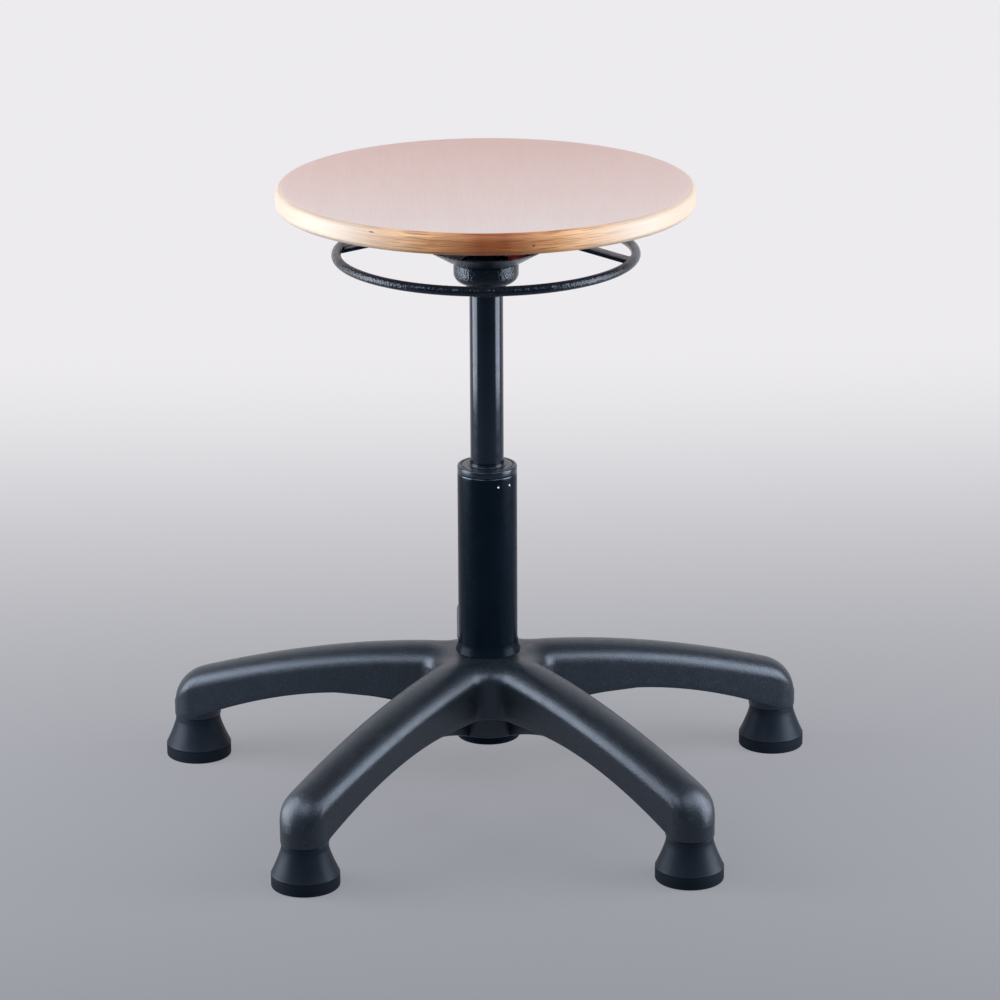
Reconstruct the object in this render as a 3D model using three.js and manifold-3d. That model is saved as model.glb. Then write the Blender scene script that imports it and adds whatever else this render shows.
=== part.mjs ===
// Round work stool: plywood seat, gas lift released by a ring under the seat, five-star base on glides.
// Millimetres, +Z up. The floor is z = 0 and the origin is the middle of the base's footprint.

import * as THREE from 'three';
import { mergeVertices } from 'three/addons/utils/BufferGeometryUtils.js';
import Module from 'manifold-3d';

const wasm = await Module();
wasm.setup();

// Clearance between pieces that touch, and how far a cutting shape runs past what it cuts
const gap = 0.3;
const overrun = 1;

// Facets round a full turn, and along curved stretches
const seatFacets = 60;
const tubeFacets = 24;
const smallFacets = 12;
const ringFacets = 48;
const rodFacets = 8;
const roundSteps = 3;

// Seat board
const seatHeight = 527;
const seatDiameter = 345;
const boardThickness = 18;
const topRounding = 4;
const bottomRounding = 3;

// Seat plate, its screws and the inserts in the board
const plateWidth = 124;
const plateThickness = 3;
const plateCorner = 12;
const plateHoleRadius = 17;
const screwSpacing = 96;
const screwRadius = 3;
const screwHeadRadius = 5.5;
const screwHeadHeight = 3.5;
const screwGrip = 9;
const insertWall = 1.5;
const insertLength = 13;

// Lever channel under the plate
const channelLength = 68;
const channelBack = 30;
const channelWidth = 44;
const channelHeight = 23.4;
const channelWall = 3;

// Taper socket that takes the top of the pressure tube
const socketLength = 54;
const socketStandout = 3;
const socketRadius = 15.8;
const collarRadius = 16.6;

// Cup that carries the release dish
const cupRadius = 27;
const cupWall = 2;
const cupStraight = 8.5;
const cupDepth = 17;
const cupFoot = 19;

// Release dish, ring and its two arms
const ringDrop = 59;
const ringRadius = 123.3;
const ringRodRadius = 4;
const dishDrop = 7;
const dishHoleRadius = 19.5;
const dishFloorRadius = 28.6;
const dishRimRadius = 49;
const dishRise = 11.9;
const dishSheet = 1.6;
const armBarWidth = 14.8;
const armBarThickness = 3.2;
const armStartRadius = 33.6;
const armCrestRadius = 66;
const armCrestRise = 13.6;
const armEndDrop = 1.6;
const ringTurn = -12.1;

// Red lift block that stands in the dish and pushes the valve lever
const blockNearSide = 12;
const blockFarSide = 4;
const blockStart = 17.6;
const blockReach = 31.4;
const blockToe = 28;
const blockFootHeight = 6;
const blockStemWidth = 5;
const blockStemDepth = 8;
const blockStemX = 28;

// Valve lever and its pin
const leverPinX = 10;
const leverPinRadius = 2.5;
const leverBossRadius = 4.6;
const leverWidth = 9;
const leverThickness = 4;
const leverInnerReach = 13;
const leverOuterReach = 20;

// Gas spring
const pressureTubeRadius = 14;
const pressureTubeWall = 1.5;
const pressureTubeLength = 274;
const pressureTubeInset = 2;
const taperLength = 46;
const taperTopRadius = 12.9;
const valveHousingLength = 16;
const valvePinRadius = 3;
const valvePinLength = 25;
const valvePinStandout = 4.2;
const rodRadius = 5;
const rodEndRadius = 4;
const rodEndLength = 15.5;
const rodGuideLength = 9.5;
const sealLength = 4;
const guideInset = 0.5;
const pistonLength = 15;
const pistonLift = 2;
const pistonRingGroove = 3;
const pistonRingDepth = 1.6;
const pistonBossLength = 5;

// Stand tube, guide bushing and wiper ring
const standTubeRadius = 25;
const standTubeWall = 2;
const standTubeDrop = 246.7;
const standTubeFloor = 3;
const standTubeRounding = 0.8;
const bushingLength = 129;
const bushingHead = 9;
const bushingCollar = 6;
const bushingCollarRounding = 2.2;
const bushingWall = 3;
const bushingFlange = 8;
const bushingFlanges = 3;
const bushingGrooveInset = 2.7;
const bushingGrooveWidth = 1;
const bushingGrooveDepth = 1.2;
const wiperWall = 1.5;
const wiperHeight = 3;

// Swivel bearing at the foot of the gas spring
const washerRadius = 17;
const washerThickness = 1.5;
const cageThickness = 2;
const ballRadius = 2;
const ballCircleRadius = 12;
const balls = 8;
const ballFacets = 6;
const cageInnerRadius = 7;
const cageOuterRadius = 16.5;
const bufferRadius = 16;
const bufferHeight = 16;
const clipRadius = 9;
const clipThickness = 1;
const clipGrooveDepth = 0.8;
const clipMouth = 5;

// Hub sleeve
const sleeveStandout = 8;
const sleeveFlange = 3;
const sleeveFlangeBore = 14;
const sleeveWall = 1.7;
const lipHeight = 9;
const lipWidth = 0.5;

// Star base
const armCount = 5;
const footCircleRadius = 263.8;
const armTopHeight = 125.5;
const hubDip = 3;
const bossRadius = 32;
const bossDepth = 73;
const webRadius = 50;
const webDepth = 48.5;
const webCrown = 8;
const webWall = 5;
const armFall = 46.3;
const armRootHalfWidth = 22.5;
const armWaistHalfWidth = 20.7;
const armEndRadius = 20;
const armRootRound = 15.6;
const armTipRound = 14.4;
const armWall = 4;
const endCapInset = 7.8;
const endCapRise = 0.5;
const archDepth = 47;
const archSag = 8.5;
const archFall = 25.7;
const footBossBottom = 37.5;
const footBossSink = 3;
const pocketEndInset = 27.8;
const pocketStart = 34;
const ribThickness = 3.5;
const ribDepth = 56.5;
const ribSag = 18.3;
const crossRibInset = 6;
const crossRibThickness = 3;

// Shares of the foot circle where the arm's sections stand, and where its waist, arch and ribs are
const armStationShares = [0.06, 0.2, 0.32, 0.44, 0.56, 0.68, 0.78, 0.87, 0.94];
const armWaistShare = 0.85;
const archCrestShare = 0.3867;
const archReachShare = 0.4814;
const ribCrestShare = 0.4208;
const ribEndShare = 0.5686;
const crossRibShares = [0.4, 0.58, 0.75];

// How fast an arm falls, how square its end cap is, and how much of a section's height its round top may take
const armFallPower = 1.85;
const armEndCapPower = 2.8;
const armRoundShare = 0.9;
const endCapAngles = [0, 15, 30, 45, 60, 75, 85];

// Glides
const padRadius = 28;
const padHeight = 10;
const padChamfer = 1;
const coneTopRadius = 19.3;
const conePlinth = 0.8;
const coneHollow = 0.7;
const coneNeck = 3.5;
const stemRadius = 5;
const stemCover = 17.3;
const stemSeat = 3;

// Levels and places that follow from the sizes above
const columnY = -footCircleRadius * (1 - Math.cos(Math.PI / armCount)) / 2;
const boardUnderside = seatHeight - boardThickness;
const plateTop = boardUnderside - gap;
const plateBottom = plateTop - plateThickness;
const channelTop = plateBottom - gap;
const channelBottom = channelTop - channelHeight;
const channelFloor = channelBottom + channelWall;
const socketTop = channelFloor + socketStandout;
const socketBottom = socketTop - socketLength;
const ringZ = seatHeight - ringDrop;
const dishFloor = ringZ - dishDrop;
const cupTop = dishFloor - gap;
const cupBottom = cupTop - cupDepth;
const collarTop = cupBottom - gap;
const tubeTop = socketTop - pressureTubeInset;
const tubeBottom = tubeTop - pressureTubeLength;
const tubeBore = pressureTubeRadius - pressureTubeWall;
const valvePinTop = tubeTop + valvePinStandout;
const leverPinZ = valvePinTop + gap + leverThickness;
const blockTop = leverPinZ - leverThickness - gap;
const hubTop = armTopHeight - hubDip;
const bossBottom = armTopHeight - bossDepth;
const webBottom = armTopHeight - webDepth;
const archCrest = armTopHeight - archDepth;
const ribCrest = armTopHeight - ribDepth;
const archCrestRadius = footCircleRadius * archCrestShare;
const archReach = footCircleRadius * archReachShare;
const ribCrestRadius = footCircleRadius * ribCrestShare;
const ribEnd = footCircleRadius * ribEndShare;
const pocketEnd = footCircleRadius - pocketEndInset;
const armEndCapStart = footCircleRadius - endCapInset;
const armEndCapBase = footBossBottom + endCapRise;
const standTubeTop = seatHeight - standTubeDrop;
const standTubeBore = standTubeRadius - standTubeWall;
const sleeveBottom = bossBottom - sleeveStandout;
const sleeveRadius = standTubeRadius + gap + sleeveWall;
const standTubeBottom = sleeveBottom + sleeveFlange + gap;
const bearingBottom = standTubeBottom + standTubeFloor + gap;
const cageBottom = bearingBottom + washerThickness + gap;
const upperWasherBottom = cageBottom + ballRadius * 2 + gap;
const rodShoulder = upperWasherBottom + washerThickness + gap;
const guideBottom = tubeBottom + guideInset;
const sealBottom = guideBottom + rodGuideLength + gap;
const pistonBottom = sealBottom + sealLength + gap + pistonLift;
const bushingTop = standTubeTop + bushingCollar;
const baseBore = sleeveRadius + gap;
const coneBottom = padHeight + gap;
const coneTop = footBossBottom - gap;
const armStep = 360 / armCount;

// Closed solid from a three.js geometry, with shared corners merged and flat triangles dropped
function solid(geometry) {
  const bare = geometry.clone();
  bare.deleteAttribute('normal');
  bare.deleteAttribute('uv');
  const merged = mergeVertices(bare);
  const corners = merged.index.array;
  const triangles = [];
  for (let i = 0; i < corners.length; i += 3) {
    const [a, b, c] = [corners[i], corners[i + 1], corners[i + 2]];
    if (a !== b && b !== c && c !== a) triangles.push(a, b, c);
  }
  return new wasm.Manifold(new wasm.Mesh({
    numProp: 3,
    vertProperties: Float32Array.from(merged.attributes.position.array),
    triVerts: Uint32Array.from(triangles),
  }));
}

// three.js geometry from a joined or cut solid
function shape(body) {
  const mesh = body.getMesh();
  const geometry = new THREE.BufferGeometry();
  geometry.setAttribute('position', new THREE.BufferAttribute(Float32Array.from(mesh.vertProperties), 3));
  geometry.setIndex(new THREE.BufferAttribute(Uint32Array.from(mesh.triVerts), 1));
  geometry.computeVertexNormals();
  return geometry;
}

function joined(bodies) {
  return bodies.reduce((sum, body) => sum.add(body));
}

function cut(body, tools) {
  return tools.reduce((rest, tool) => rest.subtract(tool), body);
}

// Solid turned about the column from a profile of [radius, height] points, given upwards on the outside
function turned(profile, facets = tubeFacets) {
  const points = profile.map(([radius, z]) => new THREE.Vector2(radius, z));
  if (profile[0][0] > 0) points.push(points[0].clone());
  return new THREE.LatheGeometry(points, facets).rotateX(Math.PI / 2);
}

// Ring with a square section
function ringProfile(inner, outer, bottom, top) {
  return [[inner, bottom], [outer, bottom], [outer, top], [inner, top]];
}

function disc(radius, bottom, top, facets = tubeFacets) {
  return turned([[0, bottom], [radius, bottom], [radius, top], [0, top]], facets);
}

function box(x0, x1, y0, y1, z0, z1) {
  return new THREE.BoxGeometry(x1 - x0, y1 - y0, z1 - z0)
    .translate((x0 + x1) / 2, (y0 + y1) / 2, (z0 + z1) / 2);
}

// Quarter round from one profile point to the next, bulging outwards from the centre
function quarter(centreR, centreZ, radius, fromDegrees, toDegrees, height = radius) {
  const points = [];
  for (let i = 0; i <= roundSteps; i += 1) {
    const angle = THREE.MathUtils.degToRad(fromDegrees + (toDegrees - fromDegrees) * i / roundSteps);
    points.push([centreR + radius * Math.cos(angle), centreZ + height * Math.sin(angle)]);
  }
  return points;
}

// Outline in the X-Z plane given as [x, z] points, thickened along Y about y = middle
function slab(outline, thickness, middle = 0) {
  const flat = new THREE.Shape(outline.map(([x, z]) => new THREE.Vector2(x, z)));
  return new THREE.ExtrudeGeometry(flat, { depth: thickness, bevelEnabled: false })
    .rotateX(Math.PI / 2)
    .translate(0, middle + thickness / 2, 0);
}

// Closed body through a row of convex sections with equal point counts
function loft(sections) {
  const count = sections[0].length;
  const positions = sections.flat(2);
  const index = [];
  for (let s = 0; s < sections.length - 1; s += 1) {
    for (let i = 0; i < count; i += 1) {
      const a = s * count + i;
      const b = s * count + (i + 1) % count;
      index.push(a, b, a + count, b, b + count, a + count);
    }
  }
  const last = (sections.length - 1) * count;
  for (let i = 1; i < count - 1; i += 1) {
    index.push(0, i + 1, i);
    index.push(last, last + i, last + i + 1);
  }
  const geometry = new THREE.BufferGeometry();
  geometry.setAttribute('position', new THREE.BufferAttribute(Float32Array.from(positions), 3));
  geometry.setIndex(index);
  return geometry;
}

const stool = new THREE.Group();
const column = new THREE.Group();
column.position.set(0, columnY, 0);
stool.add(column);
const ringGroup = new THREE.Group();
ringGroup.rotation.z = THREE.MathUtils.degToRad(ringTurn);
column.add(ringGroup);

const finishes = {
  plywood: { color: 0xd9b193, roughness: 0.45, metalness: 0 },
  blackCoat: { color: 0x15181b, roughness: 0.45, metalness: 0.3 },
  blackNylon: { color: 0x25292d, roughness: 0.6, metalness: 0 },
  darkRubber: { color: 0x17191b, roughness: 0.8, metalness: 0 },
  greyPlastic: { color: 0x9a9fa3, roughness: 0.5, metalness: 0 },
  redPlastic: { color: 0xc8402c, roughness: 0.4, metalness: 0 },
  zincSteel: { color: 0xb8bcc0, roughness: 0.35, metalness: 0.9 },
  brightSteel: { color: 0xd0d3d6, roughness: 0.2, metalness: 1 },
};

// Adds one named piece to a group, optionally placed away from the group's origin
function piece(group, name, geometry, finish, place = [0, 0, 0], turn = 0) {
  const mesh = new THREE.Mesh(geometry, new THREE.MeshStandardMaterial(finishes[finish]));
  mesh.name = name;
  mesh.position.set(...place);
  mesh.rotation.z = turn;
  group.add(mesh);
  return mesh;
}

// The four screw places, as [x, y]
const screwPlaces = [[1, 1], [-1, 1], [-1, -1], [1, -1]]
  .map(([sx, sy]) => [sx * screwSpacing / 2, sy * screwSpacing / 2]);

function at(geometry, [x, y]) {
  return geometry.clone().translate(x, y, 0);
}

function seatBoard() {
  const radius = seatDiameter / 2;
  const board = solid(turned([
    [0, boardUnderside],
    ...quarter(radius - bottomRounding, boardUnderside + bottomRounding, bottomRounding, -90, 0),
    ...quarter(radius - topRounding, seatHeight - topRounding, topRounding, 0, 90),
    [0, seatHeight],
  ], seatFacets));
  const holeRadius = screwRadius + gap + insertWall + gap;
  const holeTop = boardUnderside + insertLength + gap + gap;
  const hole = disc(holeRadius, boardUnderside - overrun, holeTop, smallFacets);
  return shape(cut(board, screwPlaces.map((place) => solid(at(hole, place)))));
}

function seatPlate() {
  const half = plateWidth / 2;
  const outline = new THREE.Shape();
  outline.moveTo(half - plateCorner, -half);
  outline.absarc(half - plateCorner, -half + plateCorner, plateCorner, -Math.PI / 2, 0);
  outline.absarc(half - plateCorner, half - plateCorner, plateCorner, 0, Math.PI / 2);
  outline.absarc(-half + plateCorner, half - plateCorner, plateCorner, Math.PI / 2, Math.PI);
  outline.absarc(-half + plateCorner, -half + plateCorner, plateCorner, Math.PI, Math.PI * 3 / 2);
  const sheet = new THREE.ExtrudeGeometry(outline, {
    depth: plateThickness, bevelEnabled: false, curveSegments: roundSteps,
  }).translate(0, 0, plateBottom);
  const hole = disc(screwRadius + gap, plateBottom - overrun, plateTop + overrun, smallFacets);
  const middle = disc(plateHoleRadius, plateBottom - overrun, plateTop + overrun, smallFacets);
  const tools = screwPlaces.map((place) => solid(at(hole, place)));
  return shape(cut(solid(sheet), [...tools, solid(middle)]));
}

function threadedInsert() {
  const bottom = boardUnderside + gap;
  const inner = screwRadius + gap;
  return turned(ringProfile(inner, inner + insertWall, bottom, bottom + insertLength), smallFacets);
}

function seatScrew() {
  const headTop = plateBottom - gap;
  const tip = boardUnderside + screwGrip;
  return turned([
    [0, headTop - screwHeadHeight],
    [screwHeadRadius, headTop - screwHeadHeight],
    [screwHeadRadius, headTop],
    [screwRadius, headTop],
    [screwRadius, tip],
    [0, tip],
  ], smallFacets);
}

function leverChannel() {
  const back = -channelBack;
  const front = channelLength - channelBack;
  const side = channelWidth / 2;
  const inside = side - channelWall;
  const block = solid(box(back, front, -side, side, channelBottom, channelTop));
  const hollow = solid(box(back - overrun, front + overrun, -inside, inside, channelFloor, channelTop + overrun));
  const socketHole = solid(disc(socketRadius + gap, channelBottom - overrun, channelFloor + overrun));
  const slotSide = blockStemDepth / 2 + gap + gap;
  const slotStart = blockStemX - blockStemWidth / 2 - gap - gap;
  const slotEnd = blockStemX + blockStemWidth / 2 + gap + gap;
  const slot = solid(box(slotStart, slotEnd, -slotSide, slotSide, channelBottom - overrun, channelFloor + overrun));
  const pinHole = solid(leverPinShape(gap, channelWidth + overrun * 2, 0));
  return shape(cut(block, [hollow, socketHole, slot, pinHole]));
}

// Round bar along Y at the lever's pivot, grown by a clearance
function leverPinShape(clearance, length, middle) {
  return new THREE.CylinderGeometry(leverPinRadius + clearance, leverPinRadius + clearance, length, smallFacets)
    .translate(leverPinX, middle, leverPinZ);
}

function valveLever() {
  const bottom = leverPinZ - leverThickness;
  const bar = solid(box(leverPinX - leverInnerReach, leverPinX + leverOuterReach,
    -leverWidth / 2, leverWidth / 2, bottom, leverPinZ));
  const boss = solid(new THREE.CylinderGeometry(leverBossRadius, leverBossRadius, leverWidth, smallFacets)
    .translate(leverPinX, 0, leverPinZ));
  const bore = solid(leverPinShape(gap, leverWidth + overrun * 2, 0));
  const flat = solid(box(leverPinX - leverBossRadius - overrun, leverPinX + leverBossRadius + overrun,
    -leverWidth, leverWidth, bottom - leverBossRadius, bottom));
  return shape(cut(joined([bar, boss]), [bore, flat]));
}

function taperSocket() {
  const boreBottom = pressureTubeRadius + gap;
  const boreTop = taperTopRadius + gap;
  const taperStart = tubeTop - taperLength;
  return turned([
    [boreBottom, socketBottom],
    [collarRadius, socketBottom],
    [collarRadius, collarTop],
    [socketRadius, collarTop],
    [socketRadius, socketTop],
    [boreTop, socketTop],
    [boreTop, tubeTop],
    [boreBottom, taperStart],
  ]);
}

function hubCup() {
  const innerRadius = cupRadius - cupWall;
  const shoulder = cupTop - cupStraight;
  const hole = socketRadius + gap;
  const roundHeight = shoulder - cupBottom;
  return turned([
    [hole, cupBottom],
    [cupFoot, cupBottom],
    ...quarter(cupFoot, shoulder, cupRadius - cupFoot, -60, 0, roundHeight),
    [cupRadius, cupTop],
    [innerRadius, cupTop],
    ...quarter(cupFoot, shoulder, innerRadius - cupFoot, 0, -60, roundHeight - cupWall),
    [cupFoot, cupBottom + cupWall],
    [hole, cupBottom + cupWall],
  ]);
}

// The dish's slope, and how much height its sheet takes up on the slope
const dishSlope = dishRise / (dishRimRadius - dishFloorRadius);
const dishSlopeSheet = dishSheet * Math.hypot(1, dishSlope);

function releaseDish() {
  const foldInset = dishSlopeSheet - dishSheet;
  return turned([
    [dishHoleRadius, dishFloor],
    [dishFloorRadius, dishFloor],
    [dishRimRadius, dishFloor + dishRise],
    [dishRimRadius - foldInset, dishFloor + dishRise + dishSheet],
    [dishFloorRadius - foldInset / dishSlope, dishFloor + dishSheet],
    [dishHoleRadius, dishFloor + dishSheet],
  ], ringFacets);
}

// Underside of an arm bar, as [radius, height] points: up the dish, over its rim, and down to the ring
function armBarLine() {
  const edge = (radius) => Math.hypot(radius, armBarWidth / 2);
  const climb = (radius) => dishFloor + dishSlopeSheet + gap + (edge(radius) - dishFloorRadius) * dishSlope;
  const end = ringRadius - ringRodRadius;
  const bottomAtEnd = ringZ - armEndDrop - armBarThickness / 2;
  const crest = ringZ + armCrestRise - armBarThickness;
  const overRim = dishRimRadius + armBarThickness;
  return [
    [armStartRadius, climb(armStartRadius)],
    [overRim, climb(overRim)],
    [armCrestRadius, crest],
    [end, bottomAtEnd],
  ];
}

function ringArm() {
  const under = armBarLine();
  const over = under.map(([radius, z]) => [radius, z + armBarThickness]).reverse();
  const bar = solid(slab([...under, ...over], armBarWidth));
  return shape(bar.subtract(solid(ringTorus(ringRodRadius + gap))));
}

function ringTorus(rodSize) {
  return new THREE.TorusGeometry(ringRadius, rodSize, rodFacets, ringFacets).translate(0, 0, ringZ);
}

function liftBlock() {
  const bottom = dishFloor + dishSheet + gap;
  const footTop = bottom + blockFootHeight;
  const depth = blockNearSide + blockFarSide;
  const middle = (blockFarSide - blockNearSide) / 2;
  const toeRise = (blockReach - blockToe) * dishSlope + gap + gap;
  const foot = solid(slab([
    [blockStart, bottom],
    [blockToe, bottom],
    [blockReach, bottom + toeRise],
    [blockReach, footTop],
    [blockStart, footTop],
  ], depth, middle));
  const stem = solid(box(blockStemX - blockStemWidth / 2, blockStemX + blockStemWidth / 2,
    -blockStemDepth / 2, blockStemDepth / 2, bottom + overrun, blockTop));
  const dishWall = solid(turned([
    [dishFloorRadius - gap, bottom - overrun],
    [dishRimRadius, bottom - overrun],
    [dishRimRadius, dishFloor + dishRise + dishSlopeSheet + gap],
    [dishFloorRadius - gap, dishFloor + dishSlopeSheet + gap],
  ], ringFacets));
  return shape(cut(joined([foot, stem]), [dishWall]));
}

function pressureTube() {
  const taperStart = tubeTop - taperLength;
  return turned([
    [tubeBore, tubeBottom],
    [pressureTubeRadius, tubeBottom],
    [pressureTubeRadius, taperStart],
    [taperTopRadius, tubeTop],
    [taperTopRadius - pressureTubeWall, tubeTop],
    [tubeBore, taperStart],
  ]);
}

function valveHousing() {
  const radius = taperTopRadius - pressureTubeWall - gap;
  return turned(ringProfile(valvePinRadius + gap, radius, tubeTop - valveHousingLength, tubeTop));
}

function valvePin() {
  return disc(valvePinRadius, valvePinTop - valvePinLength, valvePinTop, smallFacets);
}

function rodGuide() {
  return turned(ringProfile(rodRadius + gap, tubeBore - gap, guideBottom, guideBottom + rodGuideLength));
}

function rodSeal() {
  return turned(ringProfile(rodRadius + gap, tubeBore - gap, sealBottom, sealBottom + sealLength));
}

function piston() {
  const radius = tubeBore - gap;
  const top = pistonBottom + pistonLength;
  const grooveBottom = pistonBottom + (pistonLength - pistonRingGroove) / 2;
  const grooveTop = grooveBottom + pistonRingGroove;
  const grooveFloor = radius - pistonRingDepth;
  return turned([
    [rodEndRadius + gap, pistonBottom],
    [radius, pistonBottom],
    [radius, grooveBottom],
    [grooveFloor, grooveBottom],
    [grooveFloor, grooveTop],
    [radius, grooveTop],
    [radius, top],
    [rodEndRadius + gap, top],
  ]);
}

function pistonRing() {
  const bottom = pistonBottom + (pistonLength - pistonRingGroove) / 2 + gap;
  const inner = tubeBore - gap - pistonRingDepth + gap;
  return turned(ringProfile(inner, tubeBore - gap, bottom, bottom + pistonRingGroove - gap * 2));
}

function pistonRod() {
  const end = rodShoulder - rodEndLength;
  const clipBottom = standTubeBottom - gap - clipThickness - gap;
  const clipTop = standTubeBottom - gap + gap;
  const groove = rodEndRadius - clipGrooveDepth;
  const neck = pistonBottom - gap;
  const tip = pistonBottom + pistonLength + pistonBossLength;
  return turned([
    [0, end],
    [rodEndRadius, end],
    [rodEndRadius, clipBottom],
    [groove, clipBottom],
    [groove, clipTop],
    [rodEndRadius, clipTop],
    [rodEndRadius, rodShoulder],
    [rodRadius, rodShoulder],
    [rodRadius, neck],
    [rodEndRadius, neck],
    [rodEndRadius, tip],
    [0, tip],
  ]);
}

function standTube() {
  const rounding = standTubeRounding;
  return turned([
    [rodEndRadius + gap, standTubeBottom],
    [standTubeRadius, standTubeBottom],
    ...quarter(standTubeRadius - rounding, standTubeTop - rounding, rounding, 0, 90),
    [standTubeBore, standTubeTop],
    [standTubeBore, standTubeBottom + standTubeFloor],
    [rodEndRadius + gap, standTubeBottom + standTubeFloor],
  ]);
}

// Plastic liner with wide flanges that bear on the stand tube and a collar that sits on its top
function guideBushing() {
  const bore = pressureTubeRadius + gap;
  const liner = bore + bushingWall;
  const outer = standTubeBore - gap;
  const bottom = bushingTop - bushingLength;
  const headBottom = standTubeTop - bushingHead;
  const collarInner = standTubeRadius - bushingCollarRounding;
  const grooveOuter = standTubeRadius - bushingGrooveInset;
  const grooveInner = grooveOuter - bushingGrooveWidth;
  const grooveFloor = bushingTop - bushingGrooveDepth;
  const pitch = (headBottom - bottom - bushingFlange) / bushingFlanges;
  const flanges = [];
  for (let i = 0; i < bushingFlanges; i += 1) {
    const z = bottom + i * pitch;
    flanges.push([outer, z], [outer, z + bushingFlange], [liner, z + bushingFlange], [liner, z + pitch]);
  }
  flanges.pop();
  const body = solid(turned([
    [bore, bottom],
    ...flanges,
    [liner, headBottom],
    [outer, headBottom],
    [outer, standTubeTop + gap],
    [standTubeRadius, standTubeTop + gap],
    ...quarter(collarInner, bushingTop - bushingCollarRounding, bushingCollarRounding, 0, 90),
    [grooveOuter, bushingTop],
    [grooveOuter, grooveFloor],
    [grooveInner, grooveFloor],
    [grooveInner, bushingTop],
    [bore, bushingTop],
  ]));
  const wiperSeat = solid(disc(bore + wiperWall + gap, bushingTop - gap * 2, bushingTop + overrun));
  return shape(cut(body, [wiperSeat]));
}

function wiperRing() {
  const inner = pressureTubeRadius + gap;
  const bottom = bushingTop - gap;
  return turned([
    [inner, bottom],
    [inner + wiperWall, bottom],
    [inner + wiperWall, bottom + wiperHeight / 2],
    [inner + gap, bottom + wiperHeight],
    [inner, bottom + wiperHeight],
  ]);
}

function washer(bottom) {
  return turned(ringProfile(rodEndRadius + gap, washerRadius, bottom, bottom + washerThickness));
}

function ballCage() {
  const middle = cageBottom + ballRadius;
  const plate = solid(turned(ringProfile(cageInnerRadius, cageOuterRadius,
    middle - cageThickness / 2, middle + cageThickness / 2)));
  const ball = new THREE.SphereGeometry(ballRadius, ballFacets, ballFacets / 2).rotateX(Math.PI / 2);
  const row = [];
  for (let i = 0; i < balls; i += 1) {
    const angle = Math.PI * 2 * i / balls;
    const place = [ballCircleRadius * Math.cos(angle), ballCircleRadius * Math.sin(angle)];
    row.push(solid(at(ball, place).translate(0, 0, middle)));
  }
  return shape(joined([plate, ...row]));
}

function rubberBuffer() {
  const inner = rodRadius + gap;
  const bottom = rodShoulder;
  const waist = bufferRadius - bufferHeight / 4;
  return turned([
    [inner, bottom],
    [bufferRadius, bottom],
    [waist, bottom + bufferHeight / 2],
    [waist, bottom + bufferHeight],
    [inner, bottom + bufferHeight],
  ]);
}

// Open clip that snaps into the groove near the rod's end
function retainingClip() {
  const top = standTubeBottom - gap;
  const inner = rodEndRadius - clipGrooveDepth + gap;
  const ring = solid(turned(ringProfile(inner, clipRadius, top - clipThickness, top), smallFacets));
  const mouth = solid(box(0, clipRadius + overrun, -clipMouth / 2, clipMouth / 2,
    top - clipThickness - overrun, top + overrun));
  return shape(ring.subtract(mouth));
}

function hubSleeve() {
  const inner = standTubeRadius + gap;
  const lipBottom = hubTop + gap;
  return turned([
    [sleeveFlangeBore, sleeveBottom],
    [sleeveRadius, sleeveBottom],
    [sleeveRadius, lipBottom],
    [sleeveRadius + lipWidth, lipBottom],
    [inner + gap, lipBottom + lipHeight],
    [inner, lipBottom + lipHeight],
    [inner, sleeveBottom + sleeveFlange],
    [sleeveFlangeBore, sleeveBottom + sleeveFlange],
  ]);
}

// Top line of an arm at a distance from the column, rounded down over the arm's end
function armTop(reach) {
  const plain = armTopHeight - armFall * (reach / footCircleRadius) ** armFallPower;
  if (reach <= armEndCapStart) return plain;
  const outerEnd = footCircleRadius + armEndRadius;
  const along = Math.min(1, (reach - armEndCapStart) / (outerEnd - armEndCapStart));
  return armEndCapBase + (plain - armEndCapBase) * (1 - along ** armEndCapPower) ** (1 / armEndCapPower);
}

// Top of a glide's stem, a cover's thickness under the arm's top
const stemTop = armTop(footCircleRadius) - stemCover;

// Lower edge of an arm's side walls: an arch that falls to the foot
function armBottom(reach) {
  if (reach <= archCrestRadius) {
    return archCrest - archSag * ((archCrestRadius - reach) / archCrestRadius) ** 2;
  }
  const fall = archFall * ((reach - archCrestRadius) / archReach) ** armFallPower;
  return Math.max(footBossBottom, archCrest - fall);
}

// Half width of an arm: narrowing to a waist, then widening into the round end
function armHalfWidth(reach) {
  const waist = footCircleRadius * armWaistShare;
  if (reach <= waist) {
    const share = (reach / waist) ** 2;
    return armRootHalfWidth + (armWaistHalfWidth - armRootHalfWidth) * share;
  }
  if (reach <= footCircleRadius) {
    const share = (reach - waist) / (footCircleRadius - waist);
    return armWaistHalfWidth + (armEndRadius - armWaistHalfWidth) * share;
  }
  return Math.sqrt(Math.max(0, armEndRadius ** 2 - (reach - footCircleRadius) ** 2));
}

// One arm section: straight side walls under a round top, inset by a wall thickness
function armSection(reach, inset, bottom) {
  const half = armHalfWidth(reach) - inset;
  const top = armTop(reach) - inset;
  const share = Math.min(1, reach / footCircleRadius);
  const round = Math.min(armRootRound + (armTipRound - armRootRound) * share, (top - bottom) * armRoundShare);
  const points = [[reach, -half, bottom]];
  const steps = roundSteps * 2;
  for (let i = 0; i <= steps; i += 1) {
    const angle = Math.PI * (1 - i / steps);
    points.push([reach, half * Math.cos(angle), top - round + round * Math.sin(angle)]);
  }
  points.push([reach, half, bottom]);
  return points.reverse();
}

function armOuter() {
  const reaches = armStationShares.map((share) => share * footCircleRadius);
  endCapAngles.forEach((degrees) => {
    reaches.push(footCircleRadius + armEndRadius * Math.sin(THREE.MathUtils.degToRad(degrees)));
  });
  return solid(loft(reaches.map((reach) => armSection(reach, 0, armBottom(reach)))));
}

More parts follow.
